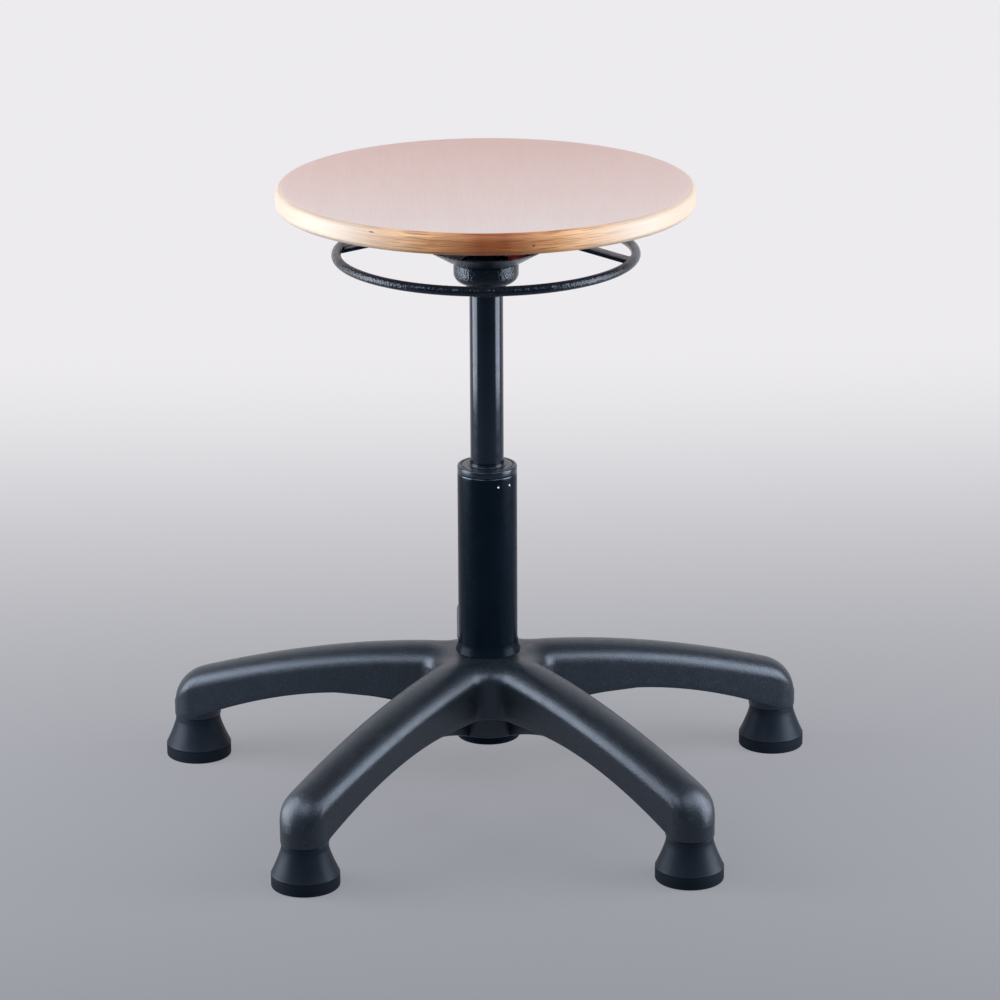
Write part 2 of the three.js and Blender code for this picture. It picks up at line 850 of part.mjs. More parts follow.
// Inner half of the round boss over the glide: the arm's own end makes the outer half
function footBoss() {
  const top = armBottom(footCircleRadius - armEndRadius) + footBossSink;
  const round = solid(at(disc(armEndRadius, footBossBottom, top), [footCircleRadius, 0]));
  const innerHalf = solid(box(0, footCircleRadius, -armEndRadius - overrun, armEndRadius + overrun,
    footBossBottom - overrun, top + overrun));
  return round.intersect(innerHalf);
}

// The space under an arm's skin, which runs out below its side walls
function armPocket() {
  const middles = armStationShares.map((share) => share * footCircleRadius)
    .filter((reach) => reach > pocketStart && reach < pocketEnd);
  const reaches = [pocketStart, ...middles, pocketEnd];
  return solid(loft(reaches.map((reach) => armSection(reach, armWall, armBottom(reach) - overrun))));
}

// Lower edge of the rib down the middle of an arm, which hangs below the side walls near the hub
function ribBottom(reach) {
  const back = Math.max(0, ribCrestRadius - reach) / (ribCrestRadius - sleeveRadius);
  return ribCrest - ribSag * back ** 2;
}

function armRibs() {
  const ribStations = [sleeveRadius + overrun, webRadius, ribCrestRadius, ribEnd];
  const hanging = ribStations.map((reach) => [reach, ribBottom(reach)]);
  const inside = crossRibShares.slice(1).map((share) => share * footCircleRadius)
    .filter((reach) => reach > ribEnd)
    .map((reach) => [reach, armBottom(reach) + crossRibInset]);
  const tip = [pocketEnd + overrun, armBottom(pocketEnd) + crossRibInset];
  const under = [...hanging, ...inside, tip];
  const above = [[tip[0], armTopHeight], [hanging[0][0], armTopHeight]];
  const keel = solid(slab([...under, ...above], ribThickness));
  const tall = crossRibShares.map((share) => {
    const reach = share * footCircleRadius;
    return solid(box(reach - crossRibThickness / 2, reach + crossRibThickness / 2,
      -armHalfWidth(reach) + overrun, armHalfWidth(reach) - overrun,
      armBottom(reach) + crossRibInset, armTop(reach) - armWall / 2));
  });
  return { keel, tall };
}

function starBase() {
  const turns = [];
  for (let i = 0; i < armCount; i += 1) turns.push(90 + armStep * i);
  const around = (body) => turns.map((degrees) => body.rotate([0, 0, degrees]));

  const web = solid(turned([
    [0, webBottom],
    [webRadius, webBottom],
    ...quarter(webRadius - webCrown * 2, hubTop - webCrown, webCrown * 2, 0, 70, webCrown),
    [0, hubTop],
  ]));
  const webHollow = solid(turned([
    [0, webBottom - overrun],
    [webRadius - webWall, webBottom - overrun],
    [webRadius - webWall, hubTop - webCrown * 2],
    [0, hubTop - webCrown * 2],
  ]));
  const outer = joined([web, ...around(joined([armOuter(), footBoss()]))]);
  const shell = cut(outer, [webHollow, ...around(armPocket())]);

  const { keel, tall } = armRibs();
  const ribCut = solid(loft(ribEnvelope()));
  const keels = around(keel.intersect(ribCut));
  const crosses = around(joined(tall).intersect(ribCut));
  const boss = solid(disc(bossRadius, bossBottom, hubTop - webCrown));
  const flatTop = solid(disc(sleeveRadius + lipWidth + overrun, hubTop, armTopHeight + overrun));
  const bore = solid(disc(baseBore, bossBottom - overrun, armTopHeight + overrun));
  const stem = disc(stemRadius + gap, footBossBottom - overrun, stemTop + gap, smallFacets);
  const stems = around(solid(at(stem, [footCircleRadius, 0])));
  return shape(cut(joined([shell, ...keels, ...crosses, boss]), [flatTop, bore, ...stems]));
}

// The arm's outside, carried down past its ribs, which keeps them inside the skin
function ribEnvelope() {
  const reaches = [sleeveRadius, ...armStationShares.slice(1).map((share) => share * footCircleRadius)];
  return reaches.map((reach) => armSection(reach, overrun, footBossBottom));
}

function glidePad() {
  return turned([
    [0, 0],
    [padRadius - padChamfer, 0],
    [padRadius, padChamfer],
    [padRadius, padHeight],
    [0, padHeight],
  ]);
}

function glideCone() {
  const bore = stemRadius + gap;
  const seat = coneBottom + stemSeat;
  const neckBottom = coneTop - coneNeck;
  return turned([
    [0, coneBottom],
    [padRadius, coneBottom],
    [padRadius, coneBottom + conePlinth],
    [(padRadius + coneTopRadius) / 2 - coneHollow, (coneBottom + conePlinth + neckBottom) / 2],
    [coneTopRadius, neckBottom],
    [coneTopRadius, coneTop],
    [bore, coneTop],
    [bore, seat],
    [0, seat],
  ]);
}

function glideStem() {
  return disc(stemRadius, coneBottom + stemSeat + gap, stemTop, smallFacets);
}

// Seat and what carries it
piece(column, 'seat_board', seatBoard(), 'plywood');
screwPlaces.forEach(([x, y], i) => {
  piece(column, `seat_insert_${i + 1}`, threadedInsert(), 'zincSteel', [x, y, 0]);
  piece(column, `seat_screw_${i + 1}`, seatScrew(), 'zincSteel', [x, y, 0]);
});
piece(column, 'seat_plate', seatPlate(), 'blackCoat');
piece(column, 'lever_channel', leverChannel(), 'blackCoat');
piece(column, 'taper_socket', taperSocket(), 'blackCoat');
piece(column, 'hub_cup', hubCup(), 'blackCoat');
piece(column, 'lever_pin', leverPinShape(0, channelWidth, 0), 'brightSteel');
piece(column, 'valve_lever', valveLever(), 'zincSteel');

// Release ring
piece(column, 'release_dish', releaseDish(), 'blackCoat');
piece(ringGroup, 'release_ring', ringTorus(ringRodRadius), 'blackCoat');
piece(ringGroup, 'ring_arm_right', ringArm(), 'blackCoat');
piece(ringGroup, 'ring_arm_left', ringArm(), 'blackCoat', [0, 0, 0], Math.PI);
piece(column, 'lift_block', liftBlock(), 'redPlastic');

// Gas spring
piece(column, 'pressure_tube', pressureTube(), 'blackCoat');
piece(column, 'valve_housing', valveHousing(), 'brightSteel');
piece(column, 'valve_pin', valvePin(), 'brightSteel');
piece(column, 'rod_guide', rodGuide(), 'greyPlastic');
piece(column, 'rod_seal', rodSeal(), 'darkRubber');
piece(column, 'piston', piston(), 'greyPlastic');
piece(column, 'piston_ring', pistonRing(), 'darkRubber');
piece(column, 'piston_rod', pistonRod(), 'brightSteel');

// Stand tube and swivel bearing
piece(column, 'stand_tube', standTube(), 'blackCoat');
piece(column, 'guide_bushing', guideBushing(), 'greyPlastic');
piece(column, 'wiper_ring', wiperRing(), 'darkRubber');
piece(column, 'lower_washer', washer(bearingBottom), 'brightSteel');
piece(column, 'ball_cage', ballCage(), 'brightSteel');
piece(column, 'upper_washer', washer(upperWasherBottom), 'brightSteel');
piece(column, 'rubber_buffer', rubberBuffer(), 'darkRubber');
piece(column, 'retaining_clip', retainingClip(), 'brightSteel');

// Base and glides
piece(column, 'hub_sleeve', hubSleeve(), 'blackCoat');
piece(column, 'star_base', starBase(), 'blackNylon');
for (let i = 0; i < armCount; i += 1) {
  const angle = THREE.MathUtils.degToRad(90 + armStep * i);
  const place = [footCircleRadius * Math.cos(angle), footCircleRadius * Math.sin(angle), 0];
  piece(column, `glide_pad_${i + 1}`, glidePad(), 'darkRubber', place);
  piece(column, `glide_cone_${i + 1}`, glideCone(), 'blackNylon', place);
  piece(column, `glide_stem_${i + 1}`, glideStem(), 'zincSteel', place);
}

export default stool;
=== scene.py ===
"""Round work stool: a plywood seat on a gas lift, a release ring under the seat and a five-armed base on glides.

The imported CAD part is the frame. This file puts finer surfaces in place of the solids that show, gives every piece
its finish, and sets the studio. Sizes are in millimetres until a mesh is made, and Blender's unit is the metre.
"""

import logging
import math
from collections.abc import Mapping, Sequence
from dataclasses import dataclass
from enum import Enum
from typing import Any

import bmesh
import bpy
import numpy as np
from mathutils import Matrix, Vector
from numpy.typing import NDArray


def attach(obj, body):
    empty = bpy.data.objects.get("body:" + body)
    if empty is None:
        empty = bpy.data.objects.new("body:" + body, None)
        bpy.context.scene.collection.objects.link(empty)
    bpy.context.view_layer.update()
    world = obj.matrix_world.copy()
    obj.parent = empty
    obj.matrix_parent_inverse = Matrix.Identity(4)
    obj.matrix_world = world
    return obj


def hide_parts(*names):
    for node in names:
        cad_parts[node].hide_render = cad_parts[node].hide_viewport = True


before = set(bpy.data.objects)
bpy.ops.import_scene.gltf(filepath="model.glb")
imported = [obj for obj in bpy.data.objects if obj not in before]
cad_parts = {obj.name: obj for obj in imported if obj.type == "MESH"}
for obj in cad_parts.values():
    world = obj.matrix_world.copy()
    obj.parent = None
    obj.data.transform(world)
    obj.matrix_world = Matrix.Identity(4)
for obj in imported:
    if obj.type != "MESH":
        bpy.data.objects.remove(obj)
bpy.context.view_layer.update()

log = logging.getLogger("stool")

Array = NDArray[np.float64]
Corner = tuple[float, float, float]

MM = 0.001
FOOT_CIRCLE = 263.8
ARMS = 5
COLUMN = np.array([0.0, -FOOT_CIRCLE * (1 - math.cos(math.pi / ARMS)) / 2, 0.0])

# Points closer than this, in metres, are one point: on a surface's own seams, and between a CAD node's triangles.
SEAM_GAP = 2e-6
NODE_GAP = 1e-6


class Body(Enum):
    """The CAD bodies that new pieces ride on."""

    BASE = "base"
    SEAT = "seat"
    RING = "ring"
    LEVER = "lever"


class Slot(Enum):
    """The record's material slots."""

    PLYWOOD = "plywood"
    BLACK_COAT = "black_coat"
    BLACK_NYLON = "black_nylon"
    DARK_RUBBER = "dark_rubber"
    GREY_PLASTIC = "grey_plastic"
    RED_PLASTIC = "red_plastic"
    ZINC_STEEL = "zinc_steel"
    BRIGHT_STEEL = "bright_steel"


# Surfaces


@dataclass
class Surface:
    """Corner points in millimetres, and the faces of four that join them."""

    points: Array
    faces: NDArray[np.int64]

    def moved(self, x: float = 0.0, y: float = 0.0, z: float = 0.0) -> "Surface":
        """Returns the surface moved by x, y and z."""
        return Surface(self.points + np.array([x, y, z]), self.faces)

    def turned(self, degrees: float) -> "Surface":
        """Returns the surface turned about the z axis."""
        angle = math.radians(degrees)
        cosine, sine = math.cos(angle), math.sin(angle)
        turn = np.array([[cosine, sine, 0.0], [-sine, cosine, 0.0], [0.0, 0.0, 1.0]])
        return Surface(self.points @ turn, self.faces)

    def mirrored(self) -> "Surface":
        """Returns the surface mirrored across the plane y = 0, with its faces turned back outwards."""
        return Surface(self.points * np.array([1.0, -1.0, 1.0]), self.faces[:, ::-1])


def joined(parts: Sequence[Surface]) -> Surface:
    """Puts several surfaces into one.

    Args:
        parts: The surfaces, each with its own corner numbers.

    Returns:
        One surface whose face numbers are shifted by the corners before them.
    """
    starts = np.cumsum([0] + [len(part.points) for part in parts[:-1]])
    points = np.concatenate([part.points for part in parts])
    faces = np.concatenate([part.faces + start for part, start in zip(parts, starts)])
    return Surface(points, faces)


def grid(points: Array, closed_rows: bool = False, closed_columns: bool = False) -> Surface:
    """Joins a grid of points with faces.

    Face (i, j) runs through the points (i, j), (i, j + 1), (i + 1, j + 1) and (i + 1, j), and wraps round where a
    direction is closed.

    Args:
        points: Points in an array of rows by columns by 3.
        closed_rows: Whether the last row joins the first.
        closed_columns: Whether the last column joins the first.

    Returns:
        The grid as a surface.
    """
    rows, columns = points.shape[:2]
    i, j = np.meshgrid(
        np.arange(rows if closed_rows else rows - 1),
        np.arange(columns if closed_columns else columns - 1),
        indexing="ij",
    )
    next_i, next_j = (i + 1) % rows, (j + 1) % columns
    corners = [i * columns + j, i * columns + next_j, next_i * columns + next_j, next_i * columns + j]
    return Surface(points.reshape(-1, 3), np.stack(corners, axis=-1).reshape(-1, 4))


def rounded(corners: Sequence[Corner], steps: int = 6, closed: bool = True) -> Array:
    """Rounds the corners of an outline.

    At a corner with half angle h, an arc of radius R starts R / tan(h) before the corner and ends as far after it.
    Its centre lies R / sin(h) along the bisector, and its points are the two end spokes mixed by the sines of the
    angles left and done.

    Args:
        corners: Corners as (first, second, radius), in order.
        steps: Steps along each arc.
        closed: Whether the last corner joins the first; if not, the two ends stay as they are.

    Returns:
        The outline's points in an array of n by 2.
    """
    table = np.array(corners, float)
    place, radius = table[:, :2], table[:, 2:]
    before, after = np.roll(place, 1, axis=0), np.roll(place, -1, axis=0)
    if not closed:
        before[0], after[-1] = 2 * place[0] - place[1], 2 * place[-1] - place[-2]
    back = (before - place) / np.linalg.norm(before - place, axis=1, keepdims=True)
    ahead = (after - place) / np.linalg.norm(after - place, axis=1, keepdims=True)
    half = np.arccos(np.clip((back * ahead).sum(axis=1, keepdims=True), -1, 1)) / 2
    middle = (back + ahead) / np.maximum(np.linalg.norm(back + ahead, axis=1, keepdims=True), 1e-9)
    centre = place + middle * radius / np.sin(half)
    first = place + back * radius / np.tan(half) - centre
    last = place + ahead * radius / np.tan(half) - centre
    sweep = np.maximum(math.pi - 2 * half, 1e-6)[:, None]
    share = np.linspace(0, 1, steps + 1)[None, :, None]
    spokes = first[:, None] * np.sin((1 - share) * sweep) + last[:, None] * np.sin(share * sweep)
    return (centre[:, None] + spokes / np.sin(sweep)).reshape(-1, 2)


def circle(columns: int) -> Array:
    """Returns evenly spread angles round a full turn, the first not repeated."""
    return np.linspace(0, 2 * math.pi, columns, endpoint=False)


def turned(profile: Array, angles: Array | None = None, radii: Array | None = None) -> Surface:
    """Carries a profile round the z axis.

    A point of the profile at radius r and height z becomes the circle (r cos a, r sin a, z) over the angles a.

    Args:
        profile: Points (radius, height), upwards on the outside. It closes on itself unless it starts on the axis.
        angles: The angles a, 128 even ones if left out.
        radii: Radii by profile point and angle, where the piece isn't round.

    Returns:
        The turned surface.
    """
    spread = circle(128) if angles is None else angles
    reach = profile[:, :1] * np.ones_like(spread) if radii is None else radii
    height = profile[:, 1:] * np.ones_like(spread)
    points = np.stack([reach * np.cos(spread), reach * np.sin(spread), height], axis=-1)
    return grid(points, closed_rows=profile[0, 0] > 0, closed_columns=True)


def strip(line: Array, thickness: float, width: float, edge: float) -> Surface:
    """Carries a flat bar's rounded section along a line in the x-z plane.

    The section is a rectangle of width along y and thickness along the line's normal, with rounded edges. Both
    ends shrink onto their middles, which closes the bar.

    Args:
        line: Points (x, z) of the bar's middle line.
        thickness: Size along the normal.
        width: Size along y.
        edge: Radius of the section's corners.

    Returns:
        The bar as a closed surface.
    """
    half, side = thickness / 2, width / 2
    section = rounded([(side, -half, edge), (side, half, edge), (-side, half, edge), (-side, -half, edge)], 3)
    along = np.gradient(line, axis=0)
    along /= np.linalg.norm(along, axis=1, keepdims=True)
    normal = np.stack([-along[:, 1], along[:, 0]], axis=1)
    rows = np.concatenate([[0, 0], np.arange(len(line)), [-1, -1]])
    scale = np.concatenate([[0, 0.8], np.ones(len(line)), [0.8, 0]])[:, None]
    across = section[None, :, 0] * scale
    up = section[None, :, 1] * scale
    place, lift = line[rows][:, None], normal[rows][:, None]
    flat = place + lift * up[..., None]
    points = np.stack([flat[..., 0], across, flat[..., 1]], axis=-1)
    return grid(points, closed_columns=True)


# Finishes


def linear(colour: str) -> tuple[float, float, float, float]:
    """Turns an sRGB hex colour into the linear one that shaders use.

    Args:
        colour: Six hex digits after a #.

    Returns:
        Linear red, green and blue, with an alpha of 1.
    """
    shares = np.array([int(colour[i : i + 2], 16) for i in (1, 3, 5)]) / 255
    red, green, blue = np.where(shares <= 0.04045, shares / 12.92, ((shares + 0.055) / 1.055) ** 2.4)
    return float(red), float(green), float(blue), 1.0


def add(tree: bpy.types.NodeTree, kind: str, inputs: Mapping[str | int, Any], **settings: Any) -> bpy.types.Node:
    """Adds one shader node.

    Args:
        tree: The node tree it goes into.
        kind: The node's type without its ShaderNode start.
        inputs: Values or other nodes' output sockets, by input name or number.
        **settings: The node's own settings.

    Returns:
        The new node.
    """
    node = tree.nodes.new("ShaderNode" + kind)
    for name, value in settings.items():
        setattr(node, name, value)
    for key, value in inputs.items():
        if isinstance(value, bpy.types.NodeSocket):
            tree.links.new(value, node.inputs[key])
        else:
            node.inputs[key].default_value = value
    return node


@dataclass(frozen=True)
class Finish:
    """What a piece is made of and how its surface was made.

    Every finish has two close colours that cloud into each other, and a fine relief. Both follow Object coordinates.
    """

    name: str
    slot: Slot
    colour: str
    second_colour: str
    roughness: float
    roughness_spread: float = 0.04
    metallic: float = 0.0
    specular: float = 0.5
    specular_tint: str = "#ffffff"
    coat: float = 0.0
    coat_roughness: float = 0.2
    coat_ior: float = 1.5
    cloud_mm: float = 30.0
    relief_mm: float = 1.0
    relief_height_mm: float = 0.02

    def material(self) -> bpy.types.Material:
        """Returns the finish as a material, made the first time it is asked for."""
        known = bpy.data.materials.get(self.name)
        if known is not None:
            return known
        material = bpy.data.materials.new(self.name)
        material.use_nodes = True
        tree = material.node_tree
        tree.nodes.clear()
        place = add(tree, "TexCoord", {}).outputs["Object"]
        shader = add(tree, "BsdfPrincipled", {"Metallic": self.metallic, "Coat Weight": self.coat})
        if not self.metallic:
            shader.inputs["Specular IOR Level"].default_value = self.specular
            shader.inputs["Specular Tint"].default_value = linear(self.specular_tint)
        if self.coat:
            shader.inputs["Coat Roughness"].default_value = self.coat_roughness
            shader.inputs["Coat IOR"].default_value = self.coat_ior
        add(tree, "OutputMaterial", {"Surface": shader.outputs[0]})
        tree.links.new(self.paint(tree, place), shader.inputs["Base Color"])
        tree.links.new(self.gloss(tree, place), shader.inputs["Roughness"])
        tree.links.new(self.relief(tree, place), shader.inputs["Normal"])
        return material

    def cloud(self, tree: bpy.types.NodeTree, place: Any, size_mm: float, detail: float = 3.0) -> Any:
        """Adds soft clouds of a real size.

        Args:
            tree: The material's node tree.
            place: The coordinates' socket, in metres.
            size_mm: Size of one cloud.
            detail: How much finer noise it carries.

        Returns:
            The socket of a share from 0 to 1.
        """
        noise = add(tree, "TexNoise", {"Vector": place, "Scale": 1000 / size_mm, "Detail": detail})
        return noise.outputs["Fac"]

    def paint(self, tree: bpy.types.NodeTree, place: Any) -> Any:
        """Returns the socket of the colour: the two colours clouding into each other."""
        share = add(tree, "MapRange", {0: self.cloud(tree, place, self.cloud_mm), 1: 0.35, 2: 0.65}).outputs[0]
        return self.blend(tree, share, self.colour, self.second_colour)

    def blend(self, tree: bpy.types.NodeTree, share: Any, low: Any, high: Any) -> Any:
        """Mixes two colours by a share.

        Args:
            tree: The material's node tree.
            share: Socket of the share, 0 for the first colour.
            low: Hex colour or socket at 0.
            high: Hex colour or socket at 1.

        Returns:
            The mixed colour's socket.
        """
        first, second = (linear(c) if isinstance(c, str) else c for c in (low, high))
        mix = add(tree, "Mix", {0: share, 6: first, 7: second}, data_type="RGBA")
        return mix.outputs[2]

    def gloss(self, tree: bpy.types.NodeTree, place: Any) -> Any:
        """Returns the socket of the roughness, a little uneven over the surface."""
        low, high = self.roughness - self.roughness_spread, self.roughness + self.roughness_spread
        share = self.cloud(tree, place, self.cloud_mm / 4)
        return add(tree, "MapRange", {0: share, 1: 0.3, 2: 0.7, 3: low, 4: high}).outputs[0]

    def relief(self, tree: bpy.types.NodeTree, place: Any) -> Any:
        """Returns the socket of the normal under the fine relief."""
        height = self.cloud(tree, place, self.relief_mm, 2.0)
        return self.bump(tree, height, self.relief_height_mm)

    def bump(self, tree: bpy.types.NodeTree, height: Any, height_mm: float) -> Any:
        """Returns the normal of a height map whose full height is height_mm."""
        return add(tree, "Bump", {"Strength": 1.0, "Distance": height_mm * MM, "Height": height}).outputs[0]


@dataclass(frozen=True)
class SpecklePowderCoat(Finish):
    """Black powder coat baked on steel: an orange-peel skin whose highlights break up into grains.

    The real grain is about half a millimetre wide and is drawn coarser, so that it shows in a picture.
    """

    grain_mm: float = 1.5
    grain_height_mm: float = 0.3

    def relief(self, tree: bpy.types.NodeTree, place: Any) -> Any:
        """Returns the normal of soft orange peel with sharper grains on it."""
        peel = self.cloud(tree, place, self.relief_mm, 1.0)
        grains = add(tree, "TexVoronoi", {"Vector": place, "Scale": 1000 / self.grain_mm}, feature="F1")
        raised = add(tree, "Math", {0: grains.outputs["Distance"], 1: self.grain_height_mm}, operation="MULTIPLY")
        both = add(tree, "Math", {0: peel, 1: self.relief_height_mm, 2: raised.outputs[0]}, operation="MULTIPLY_ADD")
        return self.bump(tree, both.outputs[0], 1.0)


@dataclass(frozen=True)
class PebbledNylon(Finish):
    """Glass-filled nylon from a spark-eroded mould: a matt skin of fine pebbles that scatters every highlight."""

    pebble_mm: float = 1.5
    pebble_height_mm: float = 0.2
    fleck: str = "#5a6672"
    fleck_share: float = 0.15

    def relief(self, tree: bpy.types.NodeTree, place: Any) -> Any:
        """Returns the normal of the pebbles, which stand up as rounded cells of uneven height."""
        pebbles = add(tree, "TexVoronoi", {"Vector": place, "Scale": 1000 / self.pebble_mm}, feature="SMOOTH_F1")
        level = add(tree, "Math", {0: 1.0, 1: pebbles.outputs["Distance"]}, operation="SUBTRACT").outputs[0]
        uneven = add(tree, "Math", {0: level, 1: self.cloud(tree, place, self.relief_mm)}, operation="MULTIPLY")
        return self.bump(tree, uneven.outputs[0], self.pebble_height_mm)

    def paint(self, tree: bpy.types.NodeTree, place: Any) -> Any:
        """Returns the clouded colour with paler flecks scattered in a fine cloud."""
        base = super().paint(tree, place)
        fine = self.cloud(tree, place, self.pebble_mm * 0.8, 1.0)
        tops = add(tree, "MapRange", {0: fine, 1: 0.58, 2: 0.72, 3: 0.0, 4: self.fleck_share}).outputs[0]
        return self.blend(tree, tops, base, self.fleck)


@dataclass(frozen=True)
class LacqueredVeneer(Finish):
    """Beech face veneer under clear satin lacquer: straight fine grain with short darker ray flecks."""

    sheen_gradient_back_colour: str = "#d69683"
    sheen_gradient_back_share: float = 0.55
    board_radius_mm: float = 172.5
    grain_length_mm: float = 45.0
    grain_width_mm: float = 1.1
    fleck_length_mm: float = 3.0
    fleck_width_mm: float = 0.45
    fleck: str = "#b08d7c"
    fleck_share: float = 0.12

    def streaks(self, tree: bpy.types.NodeTree, place: Any, length_mm: float, width_mm: float) -> Any:
        """Returns noise drawn out along y: length_mm long and width_mm wide."""
        scale = (1000 / width_mm, 1000 / length_mm, 1000 / length_mm)
        drawn = add(tree, "Mapping", {"Vector": place, "Scale": scale}).outputs[0]
        return add(tree, "TexNoise", {"Vector": drawn, "Scale": 1.0, "Detail": 3.0}).outputs["Fac"]

    def paint(self, tree: bpy.types.NodeTree, place: Any) -> Any:
        """Returns broad figure, fine grain and ray flecks over a board painted redder towards its back, so that its
        front stays paler: a painted sheen.
        """
        figure = self.streaks(tree, place, self.grain_length_mm * 5, self.grain_width_mm * 14)
        grain = self.streaks(tree, place, self.grain_length_mm, self.grain_width_mm)
        both = add(tree, "Math", {0: figure, 1: 0.55, 2: grain}, operation="MULTIPLY_ADD").outputs[0]
        share = add(tree, "MapRange", {0: both, 1: 0.6, 2: 0.95}).outputs[0]
        base = self.blend(tree, share, self.colour, self.second_colour)
        # Painted sheen: the colour turns redder towards the board's back, which leaves the front paler.
        depth = add(tree, "SeparateXYZ", {0: place}).outputs[1]
        reach = self.board_radius_mm * MM
        back = add(tree, "MapRange", {0: depth, 1: -reach, 2: reach, 3: 0.0, 4: self.sheen_gradient_back_share}).outputs[0]
        base = self.blend(tree, back, base, self.sheen_gradient_back_colour)
        rays = self.streaks(tree, place, self.fleck_length_mm, self.fleck_width_mm)
        flecks = add(tree, "MapRange", {0: rays, 1: 0.6, 2: 0.7, 3: 0.0, 4: self.fleck_share}).outputs[0]
        return self.blend(tree, flecks, base, self.fleck)

    def relief(self, tree: bpy.types.NodeTree, place: Any) -> Any:
        """Returns the normal of grain that still shows through the lacquer."""
        grain = self.streaks(tree, place, self.grain_length_mm, self.grain_width_mm)
        return self.bump(tree, grain, self.relief_height_mm)


@dataclass(frozen=True)
class Knot:
    """A small dark knot in the board's edge, in millimetres."""

    place: Corner
    half_length: float
    half_height: float


@dataclass(frozen=True)
class PlyEdge(Finish):
    """Turned edge of beech plywood under lacquer: thin swaying layers, dark glue lines and torn end-grain streaks.

    Its colour is dark and warm at the front and back, and turns pale towards the board's sides: a painted highlight of
    the side lamps' light and the lacquer's sheen there.
    """

    bottom_mm: float = 509.0
    ply_mm: float = 18.0 / 13
    sway_mm: float = 1.3
    sway_length_mm: float = 38.0
    end_grain: str = "#8a4a24"
    end_grain_share: float = 0.45
    glue: str = "#5a2e17"
    glue_share: float = 0.65
    glue_width_share: float = 0.34
    streak: str = "#6b3715"
    streak_share: float = 0.7
    streak_length_mm: float = 28.0
    streak_width_mm: float = 0.5
    painted_highlight_colour: str = "#ffc68a"
    painted_highlight_mm: tuple[float, float] = (10.0, 70.0)
    painted_far_highlight_colour: str = "#bcb1a6"
    painted_far_highlight_mm: tuple[float, float] = (50.0, 112.0)
    painted_highlight_share: float = 0.85
    torn: tuple[float, float] = (0.49, 0.6)
    knot: str = "#2c140a"
    knot_core: float = 0.5
    knot_share: float = 0.95
    knots: tuple[Knot, ...] = ()

    def drawn_out(self, tree: bpy.types.NodeTree, place: Any) -> Any:
        """Returns noise drawn out along the edge: streak_length_mm long and streak_width_mm high."""
        along = 1000 / self.streak_length_mm
        drawn = add(tree, "Mapping", {"Vector": place, "Scale": (along, along, 1000 / self.streak_width_mm)})
        return add(tree, "TexNoise", {"Vector": drawn.outputs[0], "Scale": 1.0, "Detail": 4.0}).outputs["Fac"]

    def layers(self, tree: bpy.types.NodeTree, place: Any, height: Any) -> Any:
        """Returns the colour of the layers.

        A layer's number is the whole part of the height over one ply, swayed along the edge. Each layer takes its own
        share of the end grain's colour, and glue lines lie where the fractional part is near 0.
        """
        sway = self.cloud(tree, place, self.sway_length_mm, 1.0)
        swayed = add(tree, "Math", {0: sway, 1: self.sway_mm * MM, 2: height}, operation="MULTIPLY_ADD").outputs[0]
        level = add(tree, "Math", {0: swayed, 1: self.bottom_mm * MM}, operation="SUBTRACT").outputs[0]
        layer = add(tree, "Math", {0: level, 1: self.ply_mm * MM}, operation="DIVIDE").outputs[0]
        number = add(tree, "Math", {0: layer}, operation="FLOOR").outputs[0]
        within = add(tree, "Math", {0: layer}, operation="FRACT").outputs[0]
        tone = add(tree, "TexWhiteNoise", {"W": number}, noise_dimensions="1D").outputs[0]
        share = add(tree, "Math", {0: tone, 1: self.end_grain_share}, operation="MULTIPLY").outputs[0]
        layered = self.blend(tree, share, super().paint(tree, place), self.end_grain)
        fade = {0: within, 1: 0.0, 2: self.glue_width_share, 3: self.glue_share, 4: 0.0}
        return self.blend(tree, add(tree, "MapRange", fade).outputs[0], layered, self.glue)

    def faded(self, tree: bpy.types.NodeTree, reach: Any, base: Any, colour: str, span_mm: tuple[float, float]) -> Any:
        """Returns the base fading into a painted highlight's colour over a span of distances across the board."""
        span = {0: reach, 1: span_mm[0] * MM, 2: span_mm[1] * MM, 3: 0.0, 4: self.painted_highlight_share}
        return self.blend(tree, add(tree, "MapRange", span).outputs[0], base, colour)

    def spotted(self, tree: bpy.types.NodeTree, place: Any, base: Any, knot: Knot) -> Any:
        """Returns the base with a knot on it, which fades out towards its rim."""
        centre = tuple(part * MM for part in knot.place)
        apart = add(tree, "VectorMath", {0: place, 1: centre}, operation="SUBTRACT").outputs[0]
        size = (1 / knot.half_length, 1 / knot.half_length, 1 / knot.half_height)
        scale = tuple(part / MM for part in size)
        scaled = add(tree, "VectorMath", {0: apart, 1: scale}, operation="MULTIPLY").outputs[0]
        distance = add(tree, "VectorMath", {0: scaled}, operation="LENGTH").outputs["Value"]
        fade = {0: distance, 1: self.knot_core, 2: 1.0, 3: self.knot_share, 4: 0.0}
        return self.blend(tree, add(tree, "MapRange", fade).outputs[0], base, self.knot)

    def paint(self, tree: bpy.types.NodeTree, place: Any) -> Any:
        """Returns the layers under torn streaks, with a painted highlight that pales the board's sides, and its knots.
        """
        across, _, height = add(tree, "SeparateXYZ", {0: place}).outputs
        base = self.layers(tree, place, height)
        reach = add(tree, "Math", {0: across}, operation="ABSOLUTE").outputs[0]
        # Painted highlight: the edge pales towards the board's sides, first warm, then further out cream.
        base = self.faded(tree, reach, base, self.painted_highlight_colour, self.painted_highlight_mm)
        torn = {0: self.drawn_out(tree, place), 1: self.torn[0], 2: self.torn[1], 3: 0.0, 4: self.streak_share}
        base = self.blend(tree, add(tree, "MapRange", torn).outputs[0], base, self.streak)
        base = self.faded(tree, reach, base, self.painted_far_highlight_colour, self.painted_far_highlight_mm)
        for knot in self.knots:
            base = self.spotted(tree, place, base, knot)
        return base

    def relief(self, tree: bpy.types.NodeTree, place: Any) -> Any:
        """Returns the normal of turned grain, drawn out round the edge."""
        return self.bump(tree, self.drawn_out(tree, place), self.relief_height_mm)


# Tint of the highlights on everything black.
COOL_TINT = "#ccdcf5"
